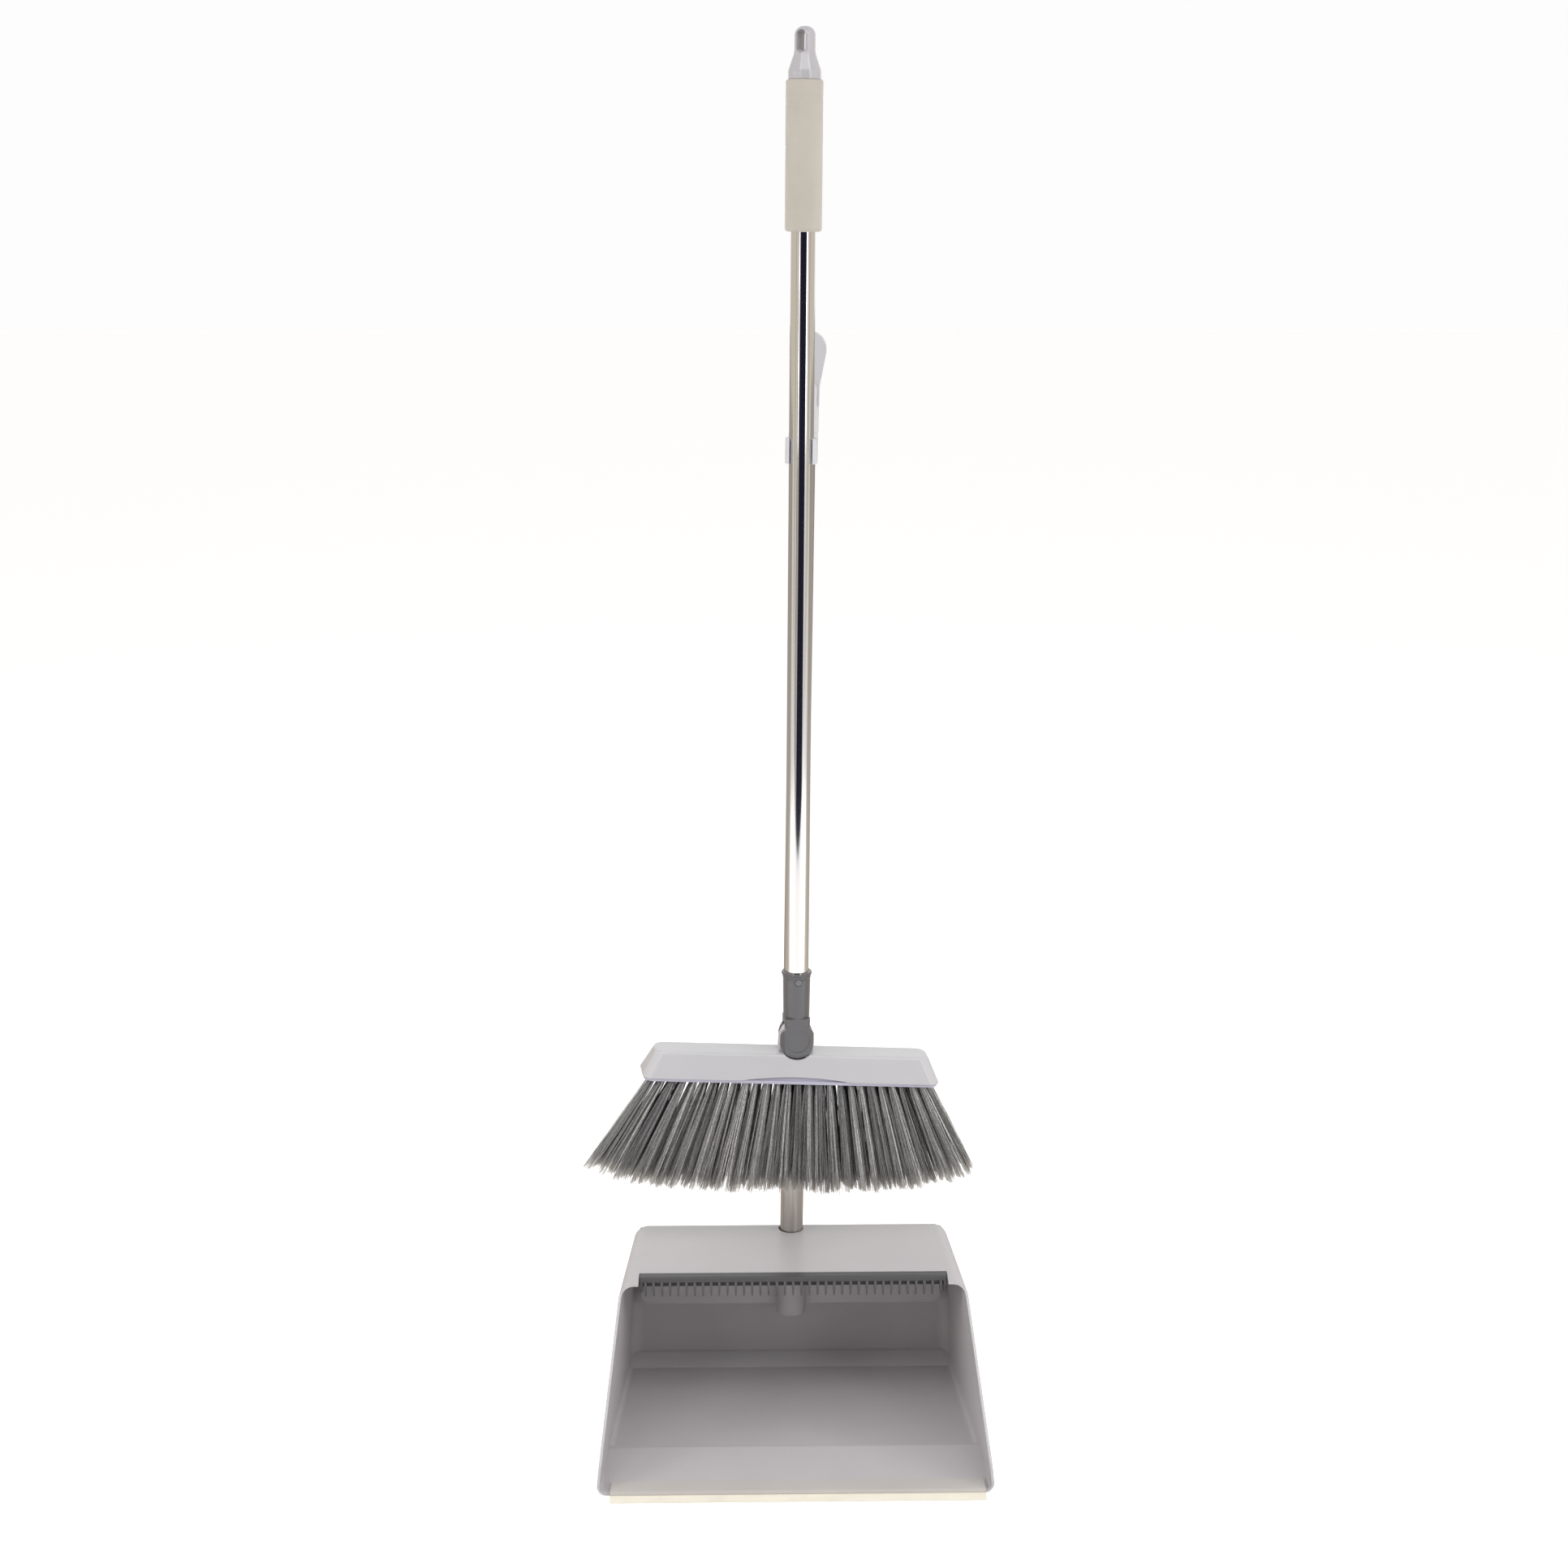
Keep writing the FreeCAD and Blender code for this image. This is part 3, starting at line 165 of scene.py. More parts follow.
def make_world():
    """A bright tent: white behind and above, beige at the sides, dark where the tent is open."""
    world = bpy.data.worlds.new("room")
    bpy.context.scene.world = world
    world.use_nodes = True
    nodes, links = world.node_tree.nodes, world.node_tree.links
    nodes.clear()
    split = nodes.new("ShaderNodeSeparateXYZ")
    links.new(nodes.new("ShaderNodeTexCoord").outputs["Generated"], split.inputs[0])

    def step(operation, *values):
        node = nodes.new("ShaderNodeMath")
        node.operation = operation
        for socket, value in zip(node.inputs, values):
            if isinstance(value, (int, float)):
                socket.default_value = value
            else:
                links.new(value, socket)
        return node.outputs[0]

    facing = step("MULTIPLY", split.outputs["Y"], -1)
    angle = step("ARCTAN2", split.outputs["X"], facing)
    share = step("MULTIPLY_ADD", angle, 1 / math.tau, 0.5)
    ramp = nodes.new("ShaderNodeValToRGB")
    stops = []
    for (start, tone), (end, _) in zip(ROOM, (*ROOM[1:], (180, None))):
        stops.append((start + ROOM_SOFTNESS / 2, tone))
        stops.append((end - ROOM_SOFTNESS / 2, tone))
    elements = ramp.color_ramp.elements
    while len(elements) < len(stops):
        elements.new(1)
    for element, (degrees, tone) in zip(elements, stops):
        element.position = degrees / 360 + 0.5
        element.color = (*tone, 1)
    links.new(share, ramp.inputs["Fac"])

    overhead = nodes.new("ShaderNodeMapRange")
    overhead.inputs["From Min"].default_value = ROOF_START
    overhead.inputs["From Max"].default_value = ROOF_FULL
    links.new(split.outputs["Z"], overhead.inputs["Value"])
    roof = nodes.new("ShaderNodeMix")
    roof.data_type = "RGBA"
    links.new(overhead.outputs["Result"], roof.inputs["Factor"])
    links.new(ramp.outputs["Color"], roof.inputs[6])
    roof.inputs[7].default_value = ROOF_TONE

    inside = nodes.new("ShaderNodeBackground")
    links.new(roof.outputs[2], inside.inputs["Color"])
    inside.inputs["Strength"].default_value = ROOM_LIGHT
    seen = nodes.new("ShaderNodeBackground")
    seen.inputs["Color"].default_value = (1, 1, 1, 1)
    seen.inputs["Strength"].default_value = BACKDROP_LIGHT
    path = nodes.new("ShaderNodeLightPath")
    mixed = nodes.new("ShaderNodeMixShader")
    links.new(path.outputs["Is Camera Ray"], mixed.inputs[0])
    links.new(inside.outputs[0], mixed.inputs[1])
    links.new(seen.outputs[0], mixed.inputs[2])
    out = nodes.new("ShaderNodeOutputWorld")
    links.new(mixed.outputs[0], out.inputs["Surface"])


def pale_floor():
    """Matt white. Its part behind the object is painted dim for glossy rays only, a painted reflection in
    the tubes' mirror; only the camera sees its glow.
    """
    pale = bpy.data.materials.new("pale_floor")
    pale.use_nodes = True
    nodes, links = pale.node_tree.nodes, pale.node_tree.links
    shader = nodes["Principled BSDF"]
    shader.inputs["Roughness"].default_value = 0.7
    shader.inputs["Specular IOR Level"].default_value = 0.2
    shader.inputs["Emission Color"].default_value = (1, 1, 1, 1)
    path = nodes.new("ShaderNodeLightPath")
    glow = nodes.new("ShaderNodeMath")
    glow.operation = "MULTIPLY"
    glow.inputs[1].default_value = FLOOR_GLOW
    links.new(path.outputs["Is Camera Ray"], glow.inputs[0])
    links.new(glow.outputs[0], shader.inputs["Emission Strength"])

    split = nodes.new("ShaderNodeSeparateXYZ")
    links.new(nodes.new("ShaderNodeTexCoord").outputs["Object"], split.inputs[0])
    behind = nodes.new("ShaderNodeMapRange")
    behind.inputs["From Min"].default_value = MIRRORED_WHITE
    behind.inputs["From Max"].default_value = MIRRORED_DIM
    links.new(split.outputs["Y"], behind.inputs["Value"])
    mirrored = nodes.new("ShaderNodeMath")
    mirrored.operation = "MULTIPLY"
    links.new(behind.outputs["Result"], mirrored.inputs[0])
    links.new(path.outputs["Is Glossy Ray"], mirrored.inputs[1])
    # Glossy rays see the floor behind the object in a dim painted tone: a painted reflection
    tone = nodes.new("ShaderNodeMix")
    tone.data_type = "RGBA"
    tone.inputs[6].default_value = FLOOR_TONE
    tone.inputs[7].default_value = PAINTED_REFLECTION_TONE
    links.new(mirrored.outputs[0], tone.inputs["Factor"])
    links.new(tone.outputs[2], shader.inputs["Base Color"])
    return pale


def make_floor():
    mesh = bpy.data.meshes.new("floor")
    corners = [
        (-FLOOR_SIDE, FLOOR_FRONT, 0),
        (FLOOR_SIDE, FLOOR_FRONT, 0),
        (FLOOR_SIDE, FLOOR_BACK, 0),
        (-FLOOR_SIDE, FLOOR_BACK, 0),
    ]
    mesh.from_pydata(corners, [], [(0, 1, 2, 3)])
    floor = bpy.data.objects.new("floor", mesh)
    floor.location.z = FLOOR_HEIGHT
    bpy.context.scene.collection.objects.link(floor)
    mesh.materials.append(pale_floor())


# ---------------------------------------------------------------- materials


class Surface:
    """A principled material with short ways to add patterns to it."""

    def __init__(self, name):
        self.material = bpy.data.materials.new(name)
        self.material.use_nodes = True
        self.nodes = self.material.node_tree.nodes
        self.links = self.material.node_tree.links
        self.shader = self.nodes["Principled BSDF"]
        self.place = self.nodes.new("ShaderNodeTexCoord").outputs["Object"]
        self.normal = None

    def set(self, **values):
        for name, value in values.items():
            self.shader.inputs[name.replace("_", " ")].default_value = value
        return self

    def scaled(self, factors):
        mapping = self.nodes.new("ShaderNodeMapping")
        mapping.inputs["Scale"].default_value = factors
        self.links.new(self.place, mapping.inputs["Vector"])
        return mapping.outputs["Vector"]

    def noise(self, scale, detail=3, roughness=0.5, stretch=None):
        node = self.nodes.new("ShaderNodeTexNoise")
        node.inputs["Scale"].default_value = scale
        node.inputs["Detail"].default_value = detail
        node.inputs["Roughness"].default_value = roughness
        source = self.scaled(stretch) if stretch else self.place
        self.links.new(source, node.inputs["Vector"])
        return node.outputs["Fac"]

    def cells(self, scale):
        node = self.nodes.new("ShaderNodeTexVoronoi")
        node.inputs["Scale"].default_value = scale
        self.links.new(self.place, node.inputs["Vector"])
        return node.outputs["Distance"]

    def ramp(self, factor, *stops):
        node = self.nodes.new("ShaderNodeValToRGB")
        elements = node.color_ramp.elements
        while len(elements) < len(stops):
            elements.new(0.5)
        for element, (position, value) in zip(elements, stops):
            element.position = position
            element.color = value if len(value) == 4 else (*value, 1)
        self.links.new(factor, node.inputs["Fac"])
        return node.outputs["Color"]

    def span(self, factor, low, high):
        node = self.nodes.new("ShaderNodeMapRange")
        node.inputs["To Min"].default_value = low
        node.inputs["To Max"].default_value = high
        self.links.new(factor, node.inputs["Value"])
        return node.outputs["Result"]

    def mix(self, factor, first, second):
        node = self.nodes.new("ShaderNodeMix")
        node.data_type = "RGBA"
        self.links.new(factor, node.inputs["Factor"])
        for socket, value in ((node.inputs[6], first), (node.inputs[7], second)):
            if isinstance(value, tuple):
                socket.default_value = value
            else:
                self.links.new(value, socket)
        return node.outputs[2]

    def multiply(self, first, second):
        node = self.nodes.new("ShaderNodeMix")
        node.data_type = "RGBA"
        node.blend_type = "MULTIPLY"
        node.inputs["Factor"].default_value = 1
        self.links.new(first, node.inputs[6])
        self.links.new(second, node.inputs[7])
        return node.outputs[2]

    def attribute(self, name):
        node = self.nodes.new("ShaderNodeAttribute")
        node.attribute_name = name
        return node.outputs["Fac"]

    def bump(self, height, distance, strength=1.0):
        node = self.nodes.new("ShaderNodeBump")
        node.inputs["Distance"].default_value = distance
        node.inputs["Strength"].default_value = strength
        self.links.new(height, node.inputs["Height"])
        if self.normal is not None:
            self.links.new(self.normal, node.inputs["Normal"])
        self.normal = node.outputs["Normal"]
        self.links.new(self.normal, self.shader.inputs["Normal"])
        return self

    def base(self, socket):
        self.links.new(socket, self.shader.inputs["Base Color"])
        return self

    def rough(self, socket):
        self.links.new(socket, self.shader.inputs["Roughness"])
        return self


def shade(value, factor):
    return tuple(min(1.0, channel * factor) for channel in value[:3]) + (1,)


def moulded(name, tone, low, high, grain=0.00003, coat=0.0):
    """Moulded plastic: faint flow marks, a fine grain and uneven gloss."""
    s = Surface(name)
    flow = s.noise(9, 4, 0.6)
    s.base(s.ramp(flow, (0.3, shade(tone, 0.955)), (0.7, shade(tone, 1.03))))
    s.rough(s.span(s.noise(38, 5, 0.6), low, high))
    s.bump(s.noise(900, 2, 0.5), grain)
    s.bump(s.noise(45, 2, 0.4), grain * 2.5, 0.5)
    s.set(IOR=1.49, Coat_Weight=coat, Coat_Roughness=0.06)
    return s.material


def polished_steel():
    s = Surface("polished_steel")
    lines = s.noise(60, 3, 0.6, (1, 1, 0.02))
    s.base(s.ramp(lines, (0.3, (0.78, 0.77, 0.76)), (0.7, (0.86, 0.85, 0.84))))
    s.rough(s.span(s.noise(14, 4, 0.6, (1, 1, 0.2)), 0.05, 0.10))
    s.bump(s.noise(5, 2, 0.5, (1, 1, 0.5)), 0.0001, 0.25)
    s.set(Metallic=1.0)
    return s.material


def brushed_steel():
    s = Surface("brushed_pole_steel")
    lines = s.noise(1400, 3, 0.7, (1, 1, 0.012))
    s.base(s.ramp(lines, (0.3, (0.46, 0.43, 0.40)), (0.7, (0.70, 0.67, 0.63))))
    s.rough(s.span(lines, 0.26, 0.40))
    s.bump(lines, 0.00002)
    s.set(Metallic=1.0)
    return s.material


def zinc_steel():
    s = Surface("zinc_steel")
    spangle = s.cells(700)
    s.base(s.ramp(spangle, (0.0, (0.45, 0.46, 0.47)), (1.0, (0.68, 0.68, 0.67))))
    s.rough(s.span(s.noise(300, 3), 0.25, 0.42))
    s.set(Metallic=1.0)
    return s.material


def foam():
    s = Surface("grip_foam")
    tone = colour(187, 181, 171)
    patches = s.noise(28, 4, 0.6, (1, 1, 0.6))
    s.base(s.ramp(patches, (0.3, shade(tone, 0.93)), (0.7, shade(tone, 1.03))))
    s.rough(s.span(s.noise(300, 3), 0.82, 0.95))
    s.bump(s.cells(1500), 0.00012, 0.6)
    s.bump(s.noise(220, 3, 0.6, (0.3, 0.3, 1.6)), 0.0002, 0.4)
    s.set(Sheen_Weight=0.25, Sheen_Roughness=0.5)
    return s.material


def rubber():
    s = Surface("lip_rubber_cream")
    tone = colour(234, 228, 213)
    s.base(s.ramp(s.noise(40, 4), (0.3, shade(tone, 0.93)), (0.7, shade(tone, 1.02))))
    s.rough(s.span(s.noise(200, 3), 0.5, 0.68))
    s.bump(s.noise(700, 2), 0.00004)
    return s.material


def bristle_hair():
    """Each filament has its own shade and painted glints, bright and dark flecks painted into its colour as
    highlights, and pales at its flagged tip.
    """
    s = Surface("bristle_hair")
    dark, mid, light = colour(72, 71, 72), colour(144, 143, 144), colour(214, 212, 210)
    own = s.ramp(s.attribute("shade"), (0.1, dark), (0.5, mid), (0.95, light))
    # Painted glints: flecks that brighten and darken the filament's colour, a painted highlight
    painted_glint = s.ramp(s.noise(900, 2, 0.6, (1, 1, 0.5)), (0.35, (0.68, 0.68, 0.68)), (0.7, (1.45, 1.45, 1.45)))
    painted_glint_tone = s.multiply(own, painted_glint)
    tip = s.ramp(
        s.attribute("along"), (0.0, (0, 0, 0)), (0.88, (0.03, 0.03, 0.03)), (1.0, (0.75, 0.75, 0.75))
    )
    s.base(s.mix(tip, painted_glint_tone, colour(228, 222, 212)))
    s.rough(s.span(s.attribute("shade"), 0.3, 0.5))
    s.set(IOR=1.5)
    return s.material


PAN_TONE = colour(187, 184, 186)
MATERIALS = {
    "pan_shell": lambda: moulded("pan_plastic", PAN_TONE, 0.30, 0.42),
    "comb_rail": lambda: moulded("comb_plastic", colour(74, 73, 75), 0.30, 0.42),
    "comb_teeth": lambda: moulded("comb_tooth_plastic", colour(92, 91, 93), 0.28, 0.40),
    "lip_strip": lambda: moulded("lip_plastic", colour(190, 185, 181), 0.42, 0.55),
    "lip_rubber": rubber,
    "pole_tube": brushed_steel,
    "pole_plug": lambda: moulded("black_plastic", colour(45, 45, 46), 0.4, 0.55),
    "pole_screw": zinc_steel,
    "handle_clip": lambda: moulded("clip_plastic", colour(206, 206, 210), 0.30, 0.42),
    "hang_cap": lambda: moulded("cap_plastic", colour(182, 180, 185), 0.16, 0.24, coat=0.5),
    "broom_tube": polished_steel,
    "neck_socket": lambda: moulded("neck_plastic", colour(87, 86, 89), 0.18, 0.26, coat=0.6),
    "button_spring": zinc_steel,
    "pivot_screw": zinc_steel,
    "thrust_washers": lambda: moulded("washer_plastic", colour(60, 60, 60), 0.4, 0.5),
    "snap_button": lambda: moulded("button_plastic", colour(112, 111, 113), 0.2, 0.3),
    "head_cover": lambda: moulded("cover_plastic", colour(188, 187, 190), 0.18, 0.28, coat=0.4),
    "bristle_block": lambda: moulded("block_plastic", colour(176, 174, 190), 0.32, 0.45),
    "cover_screws": zinc_steel,
    "tuft_staples": zinc_steel,
}


REPLACED = ("comb_rail", "comb_teeth")


def dress_cad():
    """Give every CAD node that stays its material."""
    for node, make in MATERIALS.items():
        if node in REPLACED:
            continue
        mesh = frame["nodes"][node].data
        mesh.materials.clear()
        mesh.materials.append(make())


# ---------------------------------------------------------------- bristles

TUFT_COLUMNS = 27
TUFT_ROWS = 4
TUFT_PITCH = 8.5
TUFT_FAN = 11.73
ROW_PITCH = 8.0
ROW_FAN = 9.2
ROW_SKEW = 2.2
BLOCK_UNDERSIDE = 281
HIDDEN_ROOT = 4
TIP_CENTRE = 188
TIP_CORNER = 204
FILAMENTS = 96
FILAMENT_RADIUS = 0.25
STRANDS = 9
STRAY_SHARE = 0.03
FILAMENT_SIDES = 3
FLARE_SHARE = 0.16
RING_SHARES = (0, 0.07, FLARE_SHARE, 0.36, 0.58, 0.8, 1)
HOLE_RADIUS = 1.9
FLARE_RADIUS = 3.1
TIP_RADIUS = 7.4


def tuft_ends(row, column):
    """Root and tip of one tuft in the upright head, in millimetres."""
    across = column - (TUFT_COLUMNS - 1) / 2
    back = row - (TUFT_ROWS - 1) / 2
    edge = abs(across) / ((TUFT_COLUMNS - 1) / 2)
    tip_height = TIP_CENTRE + (TIP_CORNER - TIP_CENTRE) * edge**4
    skew = back * ROW_SKEW
    root = Vector((across * TUFT_PITCH + skew, back * ROW_PITCH, BLOCK_UNDERSIDE))
    tip = Vector((across * TUFT_FAN + skew * TUFT_FAN / TUFT_PITCH, back * ROW_FAN, tip_height))
    root += (root - tip).normalized() * HIDDEN_ROOT
    return root, tip


def filament(rng, root, tip, strand, build):
    """One filament: out of its hole in the tuft's round flare, crimped a little, to its tip."""
    strand_turn, strand_reach, strand_shade = strand
    turn = strand_turn + rng.gauss(0, 0.22)
    reach = min(1, max(0, strand_reach + rng.gauss(0, 0.12)))
    stray = rng.random() < STRAY_SHARE
    spread = rng.uniform(0.75, 1.1) * (1.35 if stray else 1)
    away = Vector((math.cos(turn), math.sin(turn), 0)) * reach
    axis = (tip - root).normalized()
    end = tip - axis * min(9, rng.expovariate(0.7)) + axis * rng.uniform(0, 1.2)
    side = axis.cross(Vector((0, 1, 0))).normalized()
    front = axis.cross(side)
    wave = rng.uniform(0.05, 0.4)
    phase, period = rng.uniform(0, math.tau), rng.uniform(9, 20)
    bow = side * rng.gauss(0, 0.5) + front * rng.gauss(0, 0.5)
    own_shade = min(1, max(0, strand_shade + rng.gauss(0, 0.2)))
    length = (end - root).length
    vertices, faces, along, shades = build
    for ring, share in enumerate(RING_SHARES):
        flare = HOLE_RADIUS + (FLARE_RADIUS - HOLE_RADIUS) * min(1, share / FLARE_SHARE)
        radius_here = flare + (TIP_RADIUS * spread - FLARE_RADIUS) * share**1.3
        swing = math.sin(phase + length * share * math.tau / period) * wave * share
        middle = root.lerp(end, share) + away * radius_here
        middle += bow * math.sin(math.pi * share) + side * swing
        thick = FILAMENT_RADIUS * (1 - 0.5 * share**4)
        first = len(vertices)
        for k in range(FILAMENT_SIDES):
            angle = turn + math.tau * k / FILAMENT_SIDES
            vertices.append(middle + (side * math.cos(angle) + front * math.sin(angle)) * thick)
            along.append(share)
            shades.append(own_shade)
        if ring:
            before = first - FILAMENT_SIDES
            for k in range(FILAMENT_SIDES):
                follow = (k + 1) % FILAMENT_SIDES
                faces.append((before + k, before + follow, first + follow, first + k))
    last = len(vertices) - FILAMENT_SIDES
    start = len(vertices) - FILAMENT_SIDES * len(RING_SHARES)
    faces.append(tuple(last + k for k in range(FILAMENT_SIDES)))
    faces.append(tuple(start + FILAMENT_SIDES - 1 - k for k in range(FILAMENT_SIDES)))


def make_bristles(row, hair):
    rng = random.Random(SEED + row)
    build = ([], [], [], [])
    for column in range(TUFT_COLUMNS):
        root, tip = tuft_ends(row, column)
        tip += Vector((rng.gauss(0, 0.6), rng.gauss(0, 0.5), rng.gauss(0, 0.5)))
        strands = [
            (rng.uniform(0, math.tau), math.sqrt(rng.random()), rng.gauss(0.5, 0.13))
            for _ in range(STRANDS)
        ]
        for k in range(FILAMENTS):
            filament(rng, root, tip, strands[k % STRANDS], build)
    vertices, faces, along, shades = build
    mesh = bpy.data.meshes.new(f"bristles_{row + 1}")
    mesh.from_pydata([TO_HEAD @ (v * MM) for v in vertices], [], faces)
    mesh.attributes.new("along", "FLOAT", "POINT").data.foreach_set("value", along)
    mesh.attributes.new("shade", "FLOAT", "POINT").data.foreach_set("value", shades)
    mesh.shade_smooth()
    mesh.materials.append(hair)
    piece = bpy.data.objects.new(mesh.name, mesh)
    bpy.context.scene.collection.objects.link(piece)
    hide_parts(f"bristle_row_{row + 1}")
    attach(piece, "broom_head")


# ---------------------------------------------------------------- foam grip

GRIP_LOW = 953
GRIP_HIGH = 1063
GRIP_RADIUS = 13.9
GRIP_BORE = 9.52
GRIP_SOFT = 2.4
GRIP_ROWS = 230
GRIP_SIDES = 72
# Creases of the foam: (height, middle turn in degrees, half width in degrees, depth)
CREASES = (
    (1054.5, -60, 70, 0.20),
    (1050.5, 10, 95, 0.28),
    (1046.0, -110, 80, 0.24),
    (1041.0, -20, 60, 0.20),
    (1036.5, 60, 90, 0.16),
    (1015.0, -90, 110, 0.30),
    (1012.2, 120, 60, 0.18),
    (990.0, 30, 50, 0.10),
    (969.0, -40, 70, 0.12),
)


def grip_depth(height, angle):
    """How deep the foam's creases and slow unevenness press in at one point."""
    total = 0.06 * math.sin(height * 0.21) * math.cos(angle * 2 + height * 0.05)
    for at, middle, half, depth in CREASES:
        off = (math.degrees(angle) - middle + 180) % 360 - 180
        if abs(off) > half:
            continue
        fade = math.cos(math.pi / 2 * off / half) ** 0.7
        wander = 0.7 * math.sin(angle * 3 + at)
        total += depth * fade * math.exp(-(((height - at - wander) / 0.55) ** 2))
    return total


def make_grip():
    """A foam tube with soft ends; its rings run up the outside and down the bore."""
    rings = []
    for k in range(GRIP_ROWS + 1):
        share = k / GRIP_ROWS
        height = GRIP_LOW + (GRIP_HIGH - GRIP_LOW) * (share - 0.004 * math.sin(math.tau * share))
        edge = min(height - GRIP_LOW, GRIP_HIGH - height)
        inset = 0.0
        if edge < GRIP_SOFT:
            inset = GRIP_SOFT - math.sqrt(GRIP_SOFT**2 - (GRIP_SOFT - edge) ** 2)
        rings.append((height, GRIP_RADIUS - inset, True))
    rings.append((GRIP_HIGH, GRIP_BORE, False))
    rings.append((GRIP_LOW, GRIP_BORE, False))
    vertices, faces = [], []
    for height, radius, outside in rings:
        for side in range(GRIP_SIDES):
            angle = math.tau * side / GRIP_SIDES - math.pi
            here = radius - (grip_depth(height, angle) if outside else 0)
            point = Vector((here * math.sin(angle), -here * math.cos(angle), height))
            vertices.append(TO_STICK @ (point * MM))
    count = len(rings)
    for ring in range(count):
        follow = (ring + 1) % count
        for side in range(GRIP_SIDES):
            beside = (side + 1) % GRIP_SIDES
            faces.append(
                (
                    ring * GRIP_SIDES + side,
                    ring * GRIP_SIDES + beside,
                    follow * GRIP_SIDES + beside,
                    follow * GRIP_SIDES + side,
                )
            )
    grip = new_piece("foam_grip", vertices, faces, foam())
    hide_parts("grip_sleeve")
    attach(grip, "broom_stick")


# ---------------------------------------------------------------- comb

COMB_FRONT = -95.5
COMB_BACK = -86
COMB_HALF = 123.3
COMB_TOP = 135
RAIL_LOW = 130.8
WEB_LOW = 124.3
WEB_FRONT = -88.2
TOOTH_COUNT = 37
TOOTH_PITCH = 6.6
TOOTH_TIP = 117
TOOTH_ROUND = 0.35
RAIL_ROUND = 0.6
END_PLATE = 2.5
OVERLAP = 0.5


def new_piece(name, vertices, faces, material):
    """A shaded piece from points and faces, its normals turned outwards."""
    mesh = bpy.data.meshes.new(name)
    mesh.from_pydata(vertices, [], faces)
    work = bmesh.new()
    work.from_mesh(mesh)
    bmesh.ops.recalc_face_normals(work, faces=work.faces)
    work.to_mesh(mesh)
    work.free()
    mesh.shade_smooth()
    mesh.materials.append(material)
    piece = bpy.data.objects.new(name, mesh)
    bpy.context.scene.collection.objects.link(piece)
    return piece


def soften(piece, width):
    """Round the sharp edges of a piece and shade it by its weighted normals."""
    bevel = piece.modifiers.new("soft_edges", "BEVEL")
    bevel.width = width * MM
    bevel.segments = 3
    bevel.angle_limit = math.radians(30)
    bevel.harden_normals = True


def extruded(lines):
    """Prisms, each given as the points of its outline and the vector of its length."""
    vertices, faces = [], []
    for points, along in lines:
        first = len(vertices)
        count = len(points)
        vertices += [Vector(p) * MM for p in points]
        vertices += [(Vector(p) + Vector(along)) * MM for p in points]
        faces.append(tuple(range(first, first + count)))
        faces.append(tuple(range(first + 2 * count - 1, first + count - 1, -1)))
        for k in range(count):
            follow = (k + 1) % count
            faces.append((first + k, first + follow, first + count + follow, first + count + k))
    return vertices, faces


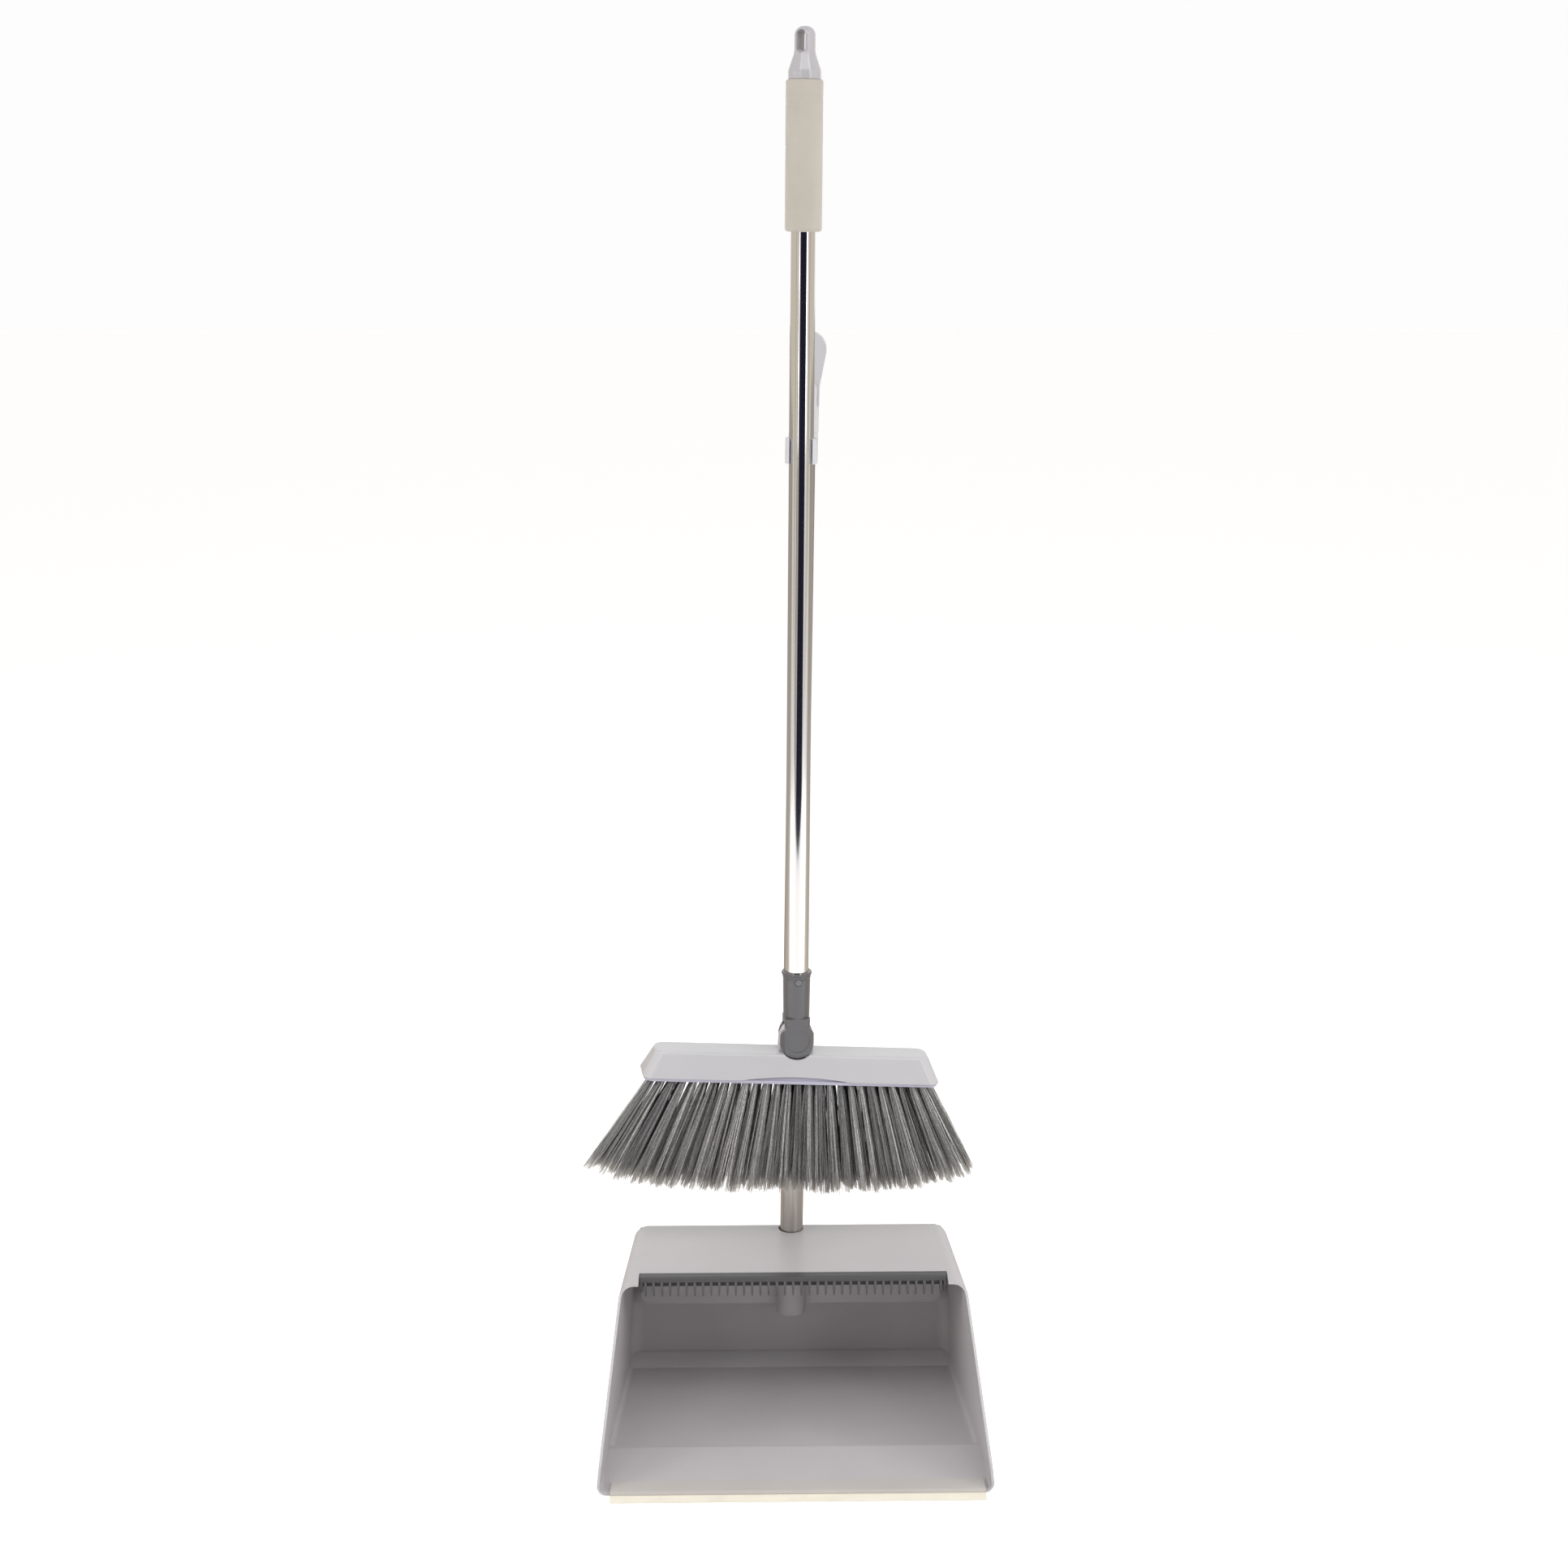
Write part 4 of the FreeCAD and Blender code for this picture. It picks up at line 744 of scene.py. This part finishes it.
def make_comb_teeth():
    """Deep thin teeth: each narrows towards its rounded tip."""
    profile = (
        (WEB_FRONT + 0.2, RAIL_LOW + 0.3, 1.1),
        (WEB_FRONT + 0.2, WEB_LOW - 1, 0.95),
        (-89.4, TOOTH_TIP + 2.0, 0.8),
        (-90.4, TOOTH_TIP + 0.4, 0.7),
        (-91.4, TOOTH_TIP, 0.65),
        (-92.4, TOOTH_TIP + 1.1, 0.7),
        (COMB_FRONT + 0.2, WEB_LOW - 0.5, 0.9),
        (COMB_FRONT + 0.2, RAIL_LOW + 0.3, 1.1),
    )
    vertices, faces = [], []
    count = len(profile)
    for k in range(TOOTH_COUNT):
        middle = (k - (TOOTH_COUNT - 1) / 2) * TOOTH_PITCH
        first = len(vertices)
        for side in (-1, 1):
            for y, z, half in profile:
                vertices.append(Vector((middle + side * half, y, z)) * MM)
        faces.append(tuple(range(first, first + count)))
        faces.append(tuple(range(first + 2 * count - 1, first + count - 1, -1)))
        for n in range(count):
            follow = (n + 1) % count
            faces.append((first + n, first + follow, first + count + follow, first + count + n))
    teeth = new_piece("comb_teeth_fine", vertices, faces, MATERIALS["comb_teeth"]())
    soften(teeth, TOOTH_ROUND)
    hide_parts("comb_teeth")
    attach(teeth, "dustpan")


def make_comb_rail():
    """The rail with its web and its two round end plates."""
    rail = [
        (-COMB_HALF, COMB_BACK, RAIL_LOW),
        (-COMB_HALF, COMB_FRONT, RAIL_LOW),
        (-COMB_HALF, COMB_FRONT, COMB_TOP - 0.9),
        (-COMB_HALF, COMB_FRONT + 1.2, COMB_TOP),
        (-COMB_HALF, COMB_BACK, COMB_TOP),
    ]
    length = (2 * COMB_HALF, 0, 0)
    web = [
        (-COMB_HALF + 1, COMB_BACK, WEB_LOW),
        (-COMB_HALF + 1, WEB_FRONT, WEB_LOW),
        (-COMB_HALF + 1, WEB_FRONT, RAIL_LOW + OVERLAP),
        (-COMB_HALF + 1, COMB_BACK, RAIL_LOW + OVERLAP),
    ]
    lines = [(rail, length), (web, (2 * COMB_HALF - 2, 0, 0))]
    for start in (-COMB_HALF, COMB_HALF - END_PLATE):
        plate = [
            (start, COMB_BACK, RAIL_LOW + OVERLAP),
            (start, COMB_BACK, WEB_LOW - 2.2),
            (start, COMB_BACK - 1.6, WEB_LOW - 3),
            (start, COMB_FRONT + 3.2, WEB_LOW - 3),
            (start, COMB_FRONT + 1.0, WEB_LOW - 1.6),
            (start, COMB_FRONT, WEB_LOW + 1),
            (start, COMB_FRONT, RAIL_LOW + OVERLAP),
        ]
        lines.append((plate, (END_PLATE, 0, 0)))
    rail_piece = new_piece("comb_rail_soft", *extruded(lines), MATERIALS["comb_rail"]())
    soften(rail_piece, RAIL_ROUND)
    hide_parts("comb_rail")
    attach(rail_piece, "dustpan")


# ---------------------------------------------------------------- the scene

bpy.context.scene.view_settings.view_transform = "Standard"
make_camera()
make_world()
make_floor()
for name, (place, target, size, power, mirrored) in LAMPS.items():
    make_area(name, place, target, size, power, mirrored)
dress_cad()
make_grip()
make_comb_rail()
make_comb_teeth()
hair = bristle_hair()
for row in range(TUFT_ROWS):
    make_bristles(row, hair)
